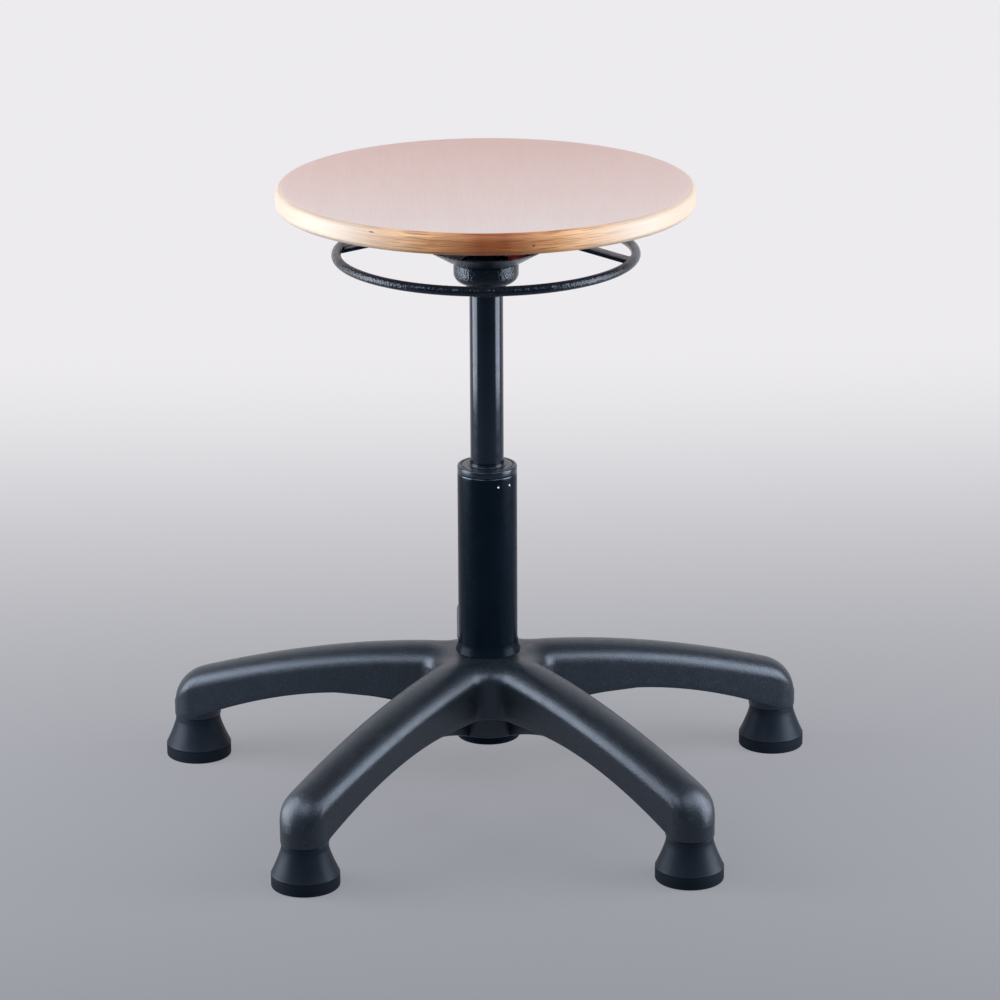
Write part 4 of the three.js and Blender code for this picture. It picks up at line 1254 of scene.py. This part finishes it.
@dataclass(frozen=True)
class StarBase:
    """Five hollow ribbed arms moulded in one with the hub, and the steel sleeve in its bore."""

    arm_top: float = 125.5
    arm_fall: float = 46.3
    fall_power: float = 1.85
    root_half: float = 22.5
    waist_half: float = 20.7
    waist_share: float = 0.85
    end_radius: float = 20.0
    root_round: float = 15.6
    tip_round: float = 14.4
    round_share: float = 0.9
    wall: float = 4.0
    cap_start: float = 256.0
    cap_base: float = 38.0
    cap_power: float = 2.8
    arch_crest: float = 78.5
    arch_crest_radius: float = 102.0
    arch_sag: float = 8.5
    arch_fall: float = 25.7
    arch_reach: float = 127.0
    foot_bottom: float = 37.5
    foot_boss_top: float = 50.0
    stem_hole: float = 5.3
    crotch: float = 50.0
    side_half: float = 22.4
    hub_dip: float = 2.2
    bore: float = 27.3
    pocket_end: float = 236.0
    boss_radius: float = 32.0
    boss_bottom: float = 52.5
    rib_thickness: float = 3.5
    rib_crest: float = 69.0
    rib_crest_radius: float = 111.0
    rib_sag: float = 18.3
    rib_end: float = 150.0
    cross_rib_reaches: tuple[float, float, float] = (105.5, 153.0, 197.9)
    cross_rib_inset: float = 6.0
    cross_rib_thickness: float = 3.0
    edge: float = 0.8
    straight_start: float = 60.0
    straight_span: float = 40.0
    side_start: float = 54.0
    hub_end: float = 100.0
    dip_start: float = 1.5
    dip_span: float = 30.0
    keel_gap: float = 2.0
    rib_edge: float = 0.5
    cross_rib_gap: float = 1.5
    cross_rib_least: float = 1.0
    foot_boss_inset: float = 0.05
    boss_gap: float = 1.0
    sleeve_bottom: float = 44.5
    sleeve_floor: float = 3.0
    sleeve_hole: float = 14.0
    sleeve_radius: float = 27.0
    sleeve_bore: float = 25.3
    lip_bottom: float = 122.8
    lip_height: float = 9.0
    lip_radius: float = 25.45
    lip_flare: float = 2.05
    lip_power: float = 1.8
    lip_outer: float = 27.5
    lip_rows: int = 12
    fillet_columns: int = 15
    near_columns: int = 17
    far_columns: int = 64
    end_columns: int = 19
    keel_columns: int = 40
    cross_rib_columns: int = 25
    foot_boss_columns: int = 72
    crown_rows: int = 19
    pocket_rows: int = 15
    wall_rows: int = 6
    foot_rows: int = 4

    def top_line(self, reach: Array) -> Array:
        """Returns an arm's top at distances from the column.

        The line falls by arm_fall times the reach's share of the foot circle to a power. Past cap_start a
        superellipse, (1 - t^p)^(1/p), brings it down to the cap's base.
        """
        plain = self.arm_top - self.arm_fall * (reach / FOOT_CIRCLE) ** self.fall_power
        end = FOOT_CIRCLE + self.end_radius
        along = np.clip((reach - self.cap_start) / (end - self.cap_start), 0, 1)
        cap = (1 - along**self.cap_power) ** (1 / self.cap_power)
        return self.cap_base + (plain - self.cap_base) * cap

    def bottom_line(self, reach: Array) -> Array:
        """Returns the lower edge of an arm's side walls: an arch that rises to its crest and falls to the foot."""
        inside = np.maximum(0, self.arch_crest_radius - reach) / self.arch_crest_radius
        outside = np.maximum(0, reach - self.arch_crest_radius) / self.arch_reach
        arch = self.arch_crest - self.arch_sag * inside**2 - self.arch_fall * outside**self.fall_power
        return np.maximum(self.foot_bottom, arch)

    def half_width(self, reach: Array) -> Array:
        """Returns half an arm's width: a slow taper to the waist, on to the foot's radius, then the round end."""
        waist = FOOT_CIRCLE * self.waist_share
        taper = self.root_half + (self.waist_half - self.root_half) * (reach / waist) ** 2
        share = np.clip((reach - waist) / (FOOT_CIRCLE - waist), 0, 1)
        flare = self.waist_half + (self.end_radius - self.waist_half) * share
        end = np.sqrt(np.maximum(0, self.end_radius**2 - np.maximum(0, reach - FOOT_CIRCLE) ** 2))
        return np.where(reach <= waist, taper, np.where(reach <= FOOT_CIRCLE, flare, end))

    def crown(self, x: Array, y: Array, depth: Array, width: Array, inset: float) -> Array:
        """Returns the height of the top skin.

        With q the depth behind the outline over the arm's half width, the skin lies round * (1 - sqrt(q * (2 - q)))
        under the top line: a half ellipse across an arm, which runs on round the crotches.

        Args:
            x: Distance along the arm.
            y: Distance across it.
            depth: Depth behind the outline.
            width: Depth at which the skin reaches the top line.
            inset: How far under the outer skin this one lies.

        Returns:
            The height at each point.
        """
        radius = np.hypot(x, y)
        share = np.clip((x - self.straight_start) / self.straight_span, 0, 1)
        reach = radius + (x - radius) * share * share * (3 - 2 * share)
        near = np.clip((radius - self.bore - self.dip_start) / self.dip_span, 0, 1)
        top = self.top_line(reach) - self.hub_dip * (1 - near * near * (3 - 2 * near)) - inset
        foot_share = np.minimum(1, reach / FOOT_CIRCLE)
        full = self.root_round + (self.tip_round - self.root_round) * foot_share
        roundness = np.minimum(full, (top - self.bottom_line(reach)) * self.round_share)
        q = np.clip(depth / np.maximum(width, 1e-6), 0, 1)
        return top - roundness * (1 - np.sqrt(q * (2 - q)))

    def hub_spine(self, outline: Array, half_angle: float) -> tuple[Array, int]:
        """Places the spine's points that belong to the outline near the hub.

        They are spread by the outline's length left to go, plus a square term that takes up the difference.

        Args:
            outline: The outline's points up to where the grid lines run straight across.
            half_angle: Half the angle between two arms.

        Returns:
            The spine's points, and how many of them lie on the bore.
        """
        steps = np.linalg.norm(np.diff(outline, axis=0), axis=1)
        length = np.concatenate([[0], np.cumsum(steps)])
        rest = length[-1] - length
        bore_arc = self.bore * half_angle
        spine_length = bore_arc + self.hub_end - self.bore
        along = spine_length - rest - (spine_length - length[-1]) * (rest / length[-1]) ** 2
        count = int(np.searchsorted(along, bore_arc))
        along[count] = bore_arc
        angle = half_angle - along / self.bore
        on_bore = self.bore * np.stack([np.cos(angle), np.sin(angle)], axis=1)
        on_arm = np.stack([self.bore + along - bore_arc, np.zeros_like(along)], axis=1)
        return np.where((along < bore_arc)[:, None], on_bore, on_arm), count + 1

    def plan(self) -> ArmPlan:
        """Returns the plan of half an arm: round the crotch's fillet, along the side and round the end."""
        half_angle = math.pi / ARMS
        fillet = (self.crotch * math.sin(half_angle) - self.side_half) / (1 - math.sin(half_angle))
        centre = (self.crotch + fillet) * np.array([math.cos(half_angle), math.sin(half_angle)])
        sweep = np.linspace(math.pi + half_angle, 1.5 * math.pi, self.fillet_columns)
        arc_normal = np.stack([np.cos(sweep), np.sin(sweep)], axis=1)
        near = np.linspace(centre[0], self.hub_end, self.near_columns)[1:]
        far = np.linspace(self.hub_end, FOOT_CIRCLE, self.far_columns)[1:]
        end = FOOT_CIRCLE + self.end_radius * np.sin(np.linspace(0, math.pi / 2, self.end_columns)[1:])
        straight = np.concatenate([near, far, end])
        side = np.stack([straight, self.half_width(straight)], axis=1)
        lean = np.clip((straight - FOOT_CIRCLE) / self.end_radius, 0, 1)
        side_normal = np.stack([-lean, -np.sqrt(1 - lean**2)], axis=1)
        outline = np.concatenate([centre + fillet * arc_normal, side])
        hub_spine, bore_count = self.hub_spine(outline[: len(sweep) + len(near)], half_angle)
        across = np.concatenate([far, end])
        spine = np.concatenate([hub_spine, np.stack([across, np.zeros(len(across))], axis=1)])
        normal = np.concatenate([arc_normal, side_normal])
        return ArmPlan(outline, normal, spine, bore_count, centre, fillet)

    def depth(self, points: Array, plan: ArmPlan) -> Array:
        """Returns how deep points lie behind the outline: from the fillet near the hub, else from the side."""
        from_fillet = np.linalg.norm(points - plan.centre, axis=-1) - plan.fillet
        from_side = self.half_width(points[..., 0]) - points[..., 1]
        return np.where(points[..., 0] < plan.centre[0], from_fillet, from_side)

    def outside(self, plan: ArmPlan, bottom: Array) -> Array:
        """Returns rows of points up the outer wall from its rounded lower edge and over the crown to the spine."""
        foot = np.linspace(0, math.pi / 2, self.foot_rows)
        low_inset, low_rise = self.edge * (1 - np.sin(foot)), self.edge * (1 - np.cos(foot))
        low_plan = plan.outline + plan.normal * low_inset[:, None, None]
        low_z = bottom + low_rise[:, None] * np.ones_like(bottom)
        over = plan.outline + (plan.spine - plan.outline) * eased(self.crown_rows)
        crown = self.crown(over[..., 0], over[..., 1], self.depth(over, plan), self.reach_width(over), 0.0)
        wall_share = np.linspace(0, 1, self.wall_rows)[1:-1, None]
        wall_z = low_z[-1] + (np.maximum(crown[0], low_z[-1]) - low_z[-1]) * wall_share
        wall_plan = np.broadcast_to(plan.outline, (len(wall_z), *plan.outline.shape))
        top = lifted(over, np.maximum(crown, low_z[-1]))
        return np.concatenate([lifted(low_plan, low_z), lifted(wall_plan, wall_z), top])

    def pocket(self, plan: ArmPlan, bottom: Array) -> Array:
        """Returns rows of points up the pocket's wall and under its ceiling.

        Columns past the pocket's end squeeze its last section flat, which closes the pocket with an end wall.
        """
        rim = plan.outline + plan.normal * self.wall
        under = rim + (plan.spine - rim) * eased(self.pocket_rows)
        depth, width = self.depth(under, plan) - self.wall, self.reach_width(under) - self.wall
        ceiling = self.crown(under[..., 0], under[..., 1], depth, width, self.wall)
        wall_z = bottom + (ceiling[0] - bottom) * np.linspace(0, 1, self.foot_rows)[:-1, None]
        wall = np.broadcast_to(rim, (len(wall_z), *rim.shape))
        rows = np.concatenate([lifted(wall, wall_z), lifted(under, ceiling)])
        last = int((plan.outline[:, 0] <= self.pocket_end).sum()) - 1
        left = len(plan.outline) - last
        section = rows[:, last : last + 1].repeat(left, axis=1)
        section[..., 1] *= 1 - np.linspace(0, 1, left)
        rows[:, last:] = section
        return rows

    def skin(self) -> Surface:
        """Returns the skin of half an arm: outside, pocket, the wall of the bore and the lower edge."""
        plan = self.plan()
        along = plan.outline[:, 0]
        bottom = self.bottom_line(np.where(along < self.straight_start, np.hypot(*plan.outline.T), along))
        outer, pocket = self.outside(plan, bottom), self.pocket(plan, bottom)
        bore_wall = np.stack([outer[-1, : plan.bore_count], pocket[-1, : plan.bore_count]])
        lower_edge = np.stack([pocket[0], outer[0]])
        return joined([grid(outer), grid(pocket), grid(bore_wall), grid(lower_edge)])

    def reach_width(self, points: Array) -> Array:
        """Returns the half width that belongs to points of the plan, the side's own near the hub."""
        return np.where(points[..., 0] < self.side_start, self.side_half, self.half_width(points[..., 0]))

    def keel(self) -> Surface:
        """Returns the rib down the middle of an arm, which hangs below the walls near the hub."""
        tail = [*self.cross_rib_reaches[1:], self.pocket_end + 1]
        reach = np.concatenate([np.linspace(self.bore + 1, self.rib_end, self.keel_columns), tail])
        back = np.maximum(0, self.rib_crest_radius - reach) / (self.rib_crest_radius - self.bore)
        hanging = self.rib_crest - self.rib_sag * back**2
        low = np.where(reach <= self.rib_end, hanging, self.bottom_line(reach) + self.cross_rib_inset)
        high = self.top_line(reach) - self.wall / 2 - self.keel_gap
        return self.slab(reach, low, high, self.rib_thickness / 2)

    def slab(self, reach: Array, low: Array, high: Array, half: float) -> Surface:
        """Returns a closed slab along x between two lines, half thick to either side of y = 0."""
        edge = self.rib_edge
        middle = (low + high) / 2
        rows = np.concatenate([[0], np.arange(len(reach)), [-1]])
        flat = np.ones(len(rows))
        flat[[0, -1]] = 0
        across = np.array([half - edge, half, half, half - edge, edge - half, -half, -half, edge - half])
        pick = np.array([0, 0, 1, 1, 1, 1, 0, 0])
        inward = np.array([0, edge, -edge, 0, 0, -edge, edge, 0])
        lines = np.stack([low, high])[pick] + inward[:, None]
        height = middle[rows] + (lines[:, rows] - middle[rows]) * flat
        points = np.stack([np.broadcast_to(reach[rows], height.shape), across[:, None] * flat, height], axis=-1)
        return grid(points.transpose(1, 0, 2), closed_columns=True)

    def cross_rib(self, reach: float) -> Surface:
        """Returns a rib across an arm, whose top follows the crown from inside."""
        half = float(self.half_width(np.array(reach))) - self.cross_rib_gap
        across = np.linspace(-half, half, self.cross_rib_columns)
        depth = half + self.cross_rib_gap - np.abs(across)
        at, width = np.full_like(across, reach), np.full_like(across, half + self.cross_rib_gap)
        high = self.crown(at, across, depth, width, self.wall / 2)
        low = np.full_like(across, float(self.bottom_line(np.array(reach))) + self.cross_rib_inset)
        rib = self.slab(across, low, np.maximum(high, low + self.cross_rib_least), self.cross_rib_thickness / 2)
        swapped = rib.points[:, [1, 0, 2]] * np.array([1.0, -1.0, 1.0])
        return Surface(swapped + np.array([reach, 0.0, 0.0]), rib.faces)

    def foot_boss(self) -> Surface:
        """Returns the round boss over a glide, with the hole for its stem."""
        radius = self.end_radius - self.foot_boss_inset
        corners = [
            (self.stem_hole, self.foot_bottom, 0.3), (radius, self.foot_bottom, 0.8),
            (radius, self.foot_boss_top, 0), (self.stem_hole, self.foot_boss_top, 0),
        ]
        return turned(rounded(corners), circle(self.foot_boss_columns)).moved(FOOT_CIRCLE)

    def hub_boss(self) -> Surface:
        """Returns the boss under the hub that holds the sleeve."""
        top = self.arm_top - self.hub_dip - self.wall / 2 - self.boss_gap
        corners = [
            (self.bore, self.boss_bottom, 0.4), (self.boss_radius, self.boss_bottom, 1.2),
            (self.boss_radius, top, 0), (self.bore, top, 0),
        ]
        return turned(rounded(corners))

    def sleeve(self) -> Surface:
        """Returns the steel sleeve in the bore, with a lip that flares out from the stand tube to the hub."""
        low, lip, top = self.sleeve_bottom, self.lip_bottom, self.lip_bottom + self.lip_height
        share = np.linspace(0, 1, self.lip_rows)
        radii = self.lip_radius + self.lip_flare * (1 - share) ** self.lip_power
        flare = np.stack([radii, lip + self.lip_height * share], axis=1)
        outside = [
            (self.sleeve_hole, low, 0.3), (self.sleeve_radius, low, 1.5), (self.sleeve_radius, lip, 0),
            (self.lip_outer, lip, 0),
        ]
        floor = low + self.sleeve_floor
        inside = [(self.sleeve_bore, top, 0), (self.sleeve_bore, floor, 0.8), (self.sleeve_hole, floor, 0)]
        return turned(np.concatenate([rounded(outside, 5, False), flare[1:], rounded(inside, 5, False)]))

    def build(self) -> None:
        """Builds the base and its sleeve."""
        half = self.skin()
        ribs = [self.keel()] + [self.cross_rib(reach) for reach in self.cross_rib_reaches]
        arm = joined([half, half.mirrored(), *ribs, self.foot_boss()])
        around = [arm.turned(90 + 360 / ARMS * number) for number in range(ARMS)]
        star = joined([*around, self.hub_boss()])
        make_piece("star_base_moulded", "star_base", star, Body.BASE, NYLON, 45)
        make_piece("hub_sleeve_turned", "hub_sleeve", self.sleeve(), Body.BASE, STAND_ENAMEL)


@dataclass(frozen=True)
class Glides:
    """Five fixed glides: a hollow-sided cone with a stem, on a flat rubber pad."""

    pad_radius: float = 28.0
    pad_height: float = 10.0
    pad_edge: float = 1.2
    cone_bottom: float = 10.3
    cone_plinth: float = 0.8
    cone_top: float = 37.2
    neck_radius: float = 19.3
    neck_bottom: float = 33.7
    hollow_power: float = 1.25
    stem_bore: float = 5.3
    stem_seat: float = 13.3
    cone_play: float = 0.1
    cone_rows: int = 22
    columns: int = 96

    def cone(self) -> Surface:
        """Returns the cone: its radius grows from the neck by the share of the way down to a power."""
        low = self.cone_bottom + self.cone_plinth
        height = np.linspace(low, self.neck_bottom, self.cone_rows)
        share = (self.neck_bottom - height) / (self.neck_bottom - low)
        side = self.neck_radius + (self.pad_radius - self.cone_play - self.neck_radius) * share**self.hollow_power
        below = [
            (0, self.cone_bottom, 0), (self.pad_radius, self.cone_bottom, 0.35), (self.pad_radius, low, 0.3),
            (side[1], height[1], 0),
        ]
        above = [
            (self.neck_radius, self.neck_bottom, 0), (self.neck_radius, self.cone_top, 0.5),
            (self.stem_bore, self.cone_top, 0.2), (self.stem_bore, self.stem_seat, 0), (0, self.stem_seat, 0),
        ]
        wall = np.stack([side, height], axis=1)[2:]
        profile = np.concatenate([rounded(below, 3, False)[:-1], wall, rounded(above, 3, False)])
        return turned(profile, circle(self.columns))

    def pad(self) -> Surface:
        """Returns the pad, with a rounded lower edge."""
        corners = [
            (0, 0, 0), (self.pad_radius, 0, self.pad_edge), (self.pad_radius, self.pad_height, 0.3),
            (0, self.pad_height, 0),
        ]
        return turned(rounded(corners), circle(self.columns))

    def build(self) -> None:
        """Builds the five glides."""
        for number in range(1, ARMS + 1):
            angle = math.radians(90 + 360 / ARMS * (number - 1))
            x, y = FOOT_CIRCLE * math.cos(angle), FOOT_CIRCLE * math.sin(angle)
            cone, pad = self.cone().moved(x, y), self.pad().moved(x, y)
            make_piece(f"glide_cone_moulded_{number}", f"glide_cone_{number}", cone, Body.BASE, GLIDE_NYLON)
            make_piece(f"glide_pad_moulded_{number}", f"glide_pad_{number}", pad, Body.BASE, RUBBER)
        dress([f"glide_stem_{number}" for number in range(1, ARMS + 1)], ZINC)


# Studio


@dataclass(frozen=True)
class Softbox:
    """One rectangular lamp, in metres, that faces a point."""

    name: str
    place: Corner
    target: Corner
    width: float
    height: float
    watts: float
    colour: str = "#ffffff"

    def build(self) -> None:
        """Adds the lamp, hidden from the camera itself."""
        lamp = bpy.data.lights.new(self.name, "AREA")
        lamp.shape = "RECTANGLE"
        lamp.size, lamp.size_y = self.width, self.height
        lamp.energy = self.watts
        lamp.color = linear(self.colour)[:3]
        holder = bpy.data.objects.new(self.name, lamp)
        holder.location = self.place
        aim = Vector(self.target) - Vector(self.place)
        holder.rotation_euler = aim.to_track_quat("-Z", "Y").to_euler()
        holder.visible_camera = False
        bpy.context.scene.collection.objects.link(holder)
        log.info("%s: %.0f W", self.name, self.watts)


@dataclass(frozen=True)
class Studio:
    """Pale floor and backdrop, softboxes to either side, and the camera of the photograph."""

    floor_colour: str = "#6c6d73"
    dark_floor: str = "#45474d"
    dark_end_y: float = -2.0
    pale: str = "#fefcff"
    pale_floor: str = "#b2b4bc"
    pale_start_y: float = -0.3
    pale_end_y: float = 1.4
    pale_share: float = 0.84
    floor_share: float = 0.5
    fill: str = "#d5dbe6"
    fill_strength: float = 0.3
    below_share: float = 0.12
    floor_half: float = 3.2
    floor_front_y: float = -3.4
    backdrop_y: float = 3.0
    backdrop_height: float = 3.2
    sweep: float = 1.2
    camera_place: Corner = (-0.1034, -3.2269, 1.2870)
    heading: tuple[float, float] = (0.0356, 0.9994)
    pitch_degrees: float = 17.865
    roll: float = -0.0043
    focal_pixels: float = 4010.6
    lamps: tuple[Softbox, ...] = (
        Softbox("softbox_left", (-0.93, -0.02, 0.56), (0.0, 0.0, 0.5), 0.72, 1.08, 14.5),
        Softbox("softbox_right", (0.92, -0.17, 0.56), (0.0, 0.0, 0.5), 0.62, 1.08, 12.8),
        Softbox("softbox_high_left", (-0.85, -1.0, 1.6), (0.0, 0.0, 0.3), 1.1, 1.0, 11.6),
        Softbox("softbox_high_right", (0.85, -1.0, 1.6), (0.0, 0.0, 0.3), 1.1, 1.0, 10.7),
    )

    def sheet_material(self) -> bpy.types.Material:
        """Returns the floor's matt paper, lightened for the camera and for reflections."""
        material = bpy.data.materials.new("matt_studio_paper")
        material.use_nodes = True
        tree = material.node_tree
        tree.nodes.clear()
        place = add(tree, "TexCoord", {}).outputs["Object"]
        noise = add(tree, "TexNoise", {"Vector": place, "Scale": 400.0, "Detail": 2.0}).outputs["Fac"]
        bump = add(tree, "Bump", {"Strength": 1.0, "Distance": 0.0001, "Height": noise}).outputs[0]
        paper = add(
            tree, "BsdfPrincipled", {"Base Color": linear(self.floor_colour), "Roughness": 0.85, "Normal": bump}
        ).outputs[0]
        depth = add(tree, "SeparateXYZ", {0: place}).outputs[1]
        span = {0: depth, 1: self.pale_start_y, 2: self.pale_end_y}
        back = add(tree, "MapRange", span, interpolation_type="SMOOTHSTEP").outputs[0]
        colours = {0: back, 6: linear(self.pale_floor), 7: linear(self.pale)}
        pale = add(tree, "Mix", colours, data_type="RGBA").outputs[2]
        front = add(tree, "MapRange", {0: depth, 1: self.pale_start_y, 2: self.dark_end_y}).outputs[0]
        colours = {0: front, 6: pale, 7: linear(self.dark_floor)}
        shown = add(tree, "Mix", colours, data_type="RGBA").outputs[2]
        glow = add(tree, "Emission", {"Color": shown, "Strength": 1.0}).outputs[0]
        path = add(tree, "LightPath", {})
        seen = add(tree, "Math", {0: path.outputs["Is Camera Ray"], 1: path.outputs["Is Glossy Ray"]}, operation="ADD")
        seen = add(tree, "Math", {0: seen.outputs[0], 1: path.outputs["Is Transmission Ray"]}, operation="ADD")
        level = add(tree, "MapRange", {0: back, 1: 0.0, 2: 1.0, 3: self.floor_share, 4: self.pale_share}).outputs[0]
        share = add(tree, "Math", {0: seen.outputs[0], 1: level}, operation="MULTIPLY", use_clamp=True)
        mix = add(tree, "MixShader", {0: share.outputs[0], 1: paper, 2: glow}).outputs[0]
        add(tree, "OutputMaterial", {"Surface": mix})
        return material

    def build_sheet(self) -> None:
        """Adds the floor, which sweeps up into the backdrop on a quarter circle."""
        turn = np.linspace(0, math.pi / 2, 25)
        sweep_y = self.backdrop_y - self.sweep + self.sweep * np.sin(turn)
        sweep_z = self.sweep * (1 - np.cos(turn))
        y = np.concatenate([[self.floor_front_y], sweep_y, [self.backdrop_y]])
        z = np.concatenate([[0.0], sweep_z, [self.backdrop_height]])
        x = np.linspace(-self.floor_half, self.floor_half, 9)
        points = np.stack(np.broadcast_arrays(x, y[:, None], z[:, None]), axis=-1)
        surface = grid(points)
        mesh = bpy.data.meshes.new("studio_sheet")
        mesh.from_pydata(surface.points.tolist(), [], surface.faces.tolist())
        mesh.polygons.foreach_set("use_smooth", np.ones(len(mesh.polygons), bool))
        mesh.materials.append(self.sheet_material())
        sheet = bpy.data.objects.new("studio_sheet", mesh)
        bpy.context.scene.collection.objects.link(sheet)

    def build_world(self) -> None:
        """Sets the world to a dim fill, and dimmer below the horizon."""
        world = bpy.data.worlds.new("studio_air")
        world.use_nodes = True
        tree = world.node_tree
        tree.nodes.clear()
        way = add(tree, "TexCoord", {}).outputs["Generated"]
        rise = add(tree, "SeparateXYZ", {0: way}).outputs[2]
        share = add(tree, "MapRange", {0: rise, 1: -0.2, 2: 0.1, 3: self.below_share, 4: 1.0}).outputs[0]
        level = add(tree, "Math", {0: share, 1: self.fill_strength}, operation="MULTIPLY").outputs[0]
        fill = add(tree, "Background", {"Color": linear(self.fill), "Strength": level}).outputs[0]
        add(tree, "OutputWorld", {"Surface": fill})
        bpy.context.scene.world = world

    def build_camera(self) -> None:
        """Adds the camera at the photograph's place, with its pitch and slight roll."""
        pitch = math.radians(self.pitch_degrees)
        flat = Vector((*self.heading, 0.0)).normalized()
        ahead = flat * math.cos(pitch) - Vector((0, 0, 1)) * math.sin(pitch)
        right = Vector((flat.y, -flat.x, 0))
        up = right.cross(ahead)
        turned_right = right * math.cos(self.roll) + up * math.sin(self.roll)
        turned_up = up * math.cos(self.roll) - right * math.sin(self.roll)
        lens = bpy.data.cameras.new("camera")
        lens.sensor_width = 36.0
        lens.lens = self.focal_pixels * 36.0 / 1000
        lens.clip_end = 50.0
        camera = bpy.data.objects.new("camera", lens)
        axes = Matrix((turned_right, turned_up, -ahead)).transposed().to_4x4()
        camera.matrix_world = Matrix.Translation(self.camera_place) @ axes
        bpy.context.scene.collection.objects.link(camera)
        bpy.context.scene.camera = camera

    def build(self) -> None:
        """Sets up floor, world, lamps and camera."""
        bpy.context.scene.view_settings.view_transform = "Standard"
        self.build_sheet()
        self.build_world()
        for lamp in self.lamps:
            lamp.build()
        self.build_camera()


def main() -> None:
    """Builds the stool from the seat down, then the studio."""
    logging.basicConfig(level=logging.INFO, format="%(name)s: %(message)s")
    for part in (Seat(), SeatHub(), ReleaseRing(), GasLift(), StarBase(), Glides(), Studio()):
        part.build()


if __name__ == "__main__":
    main()
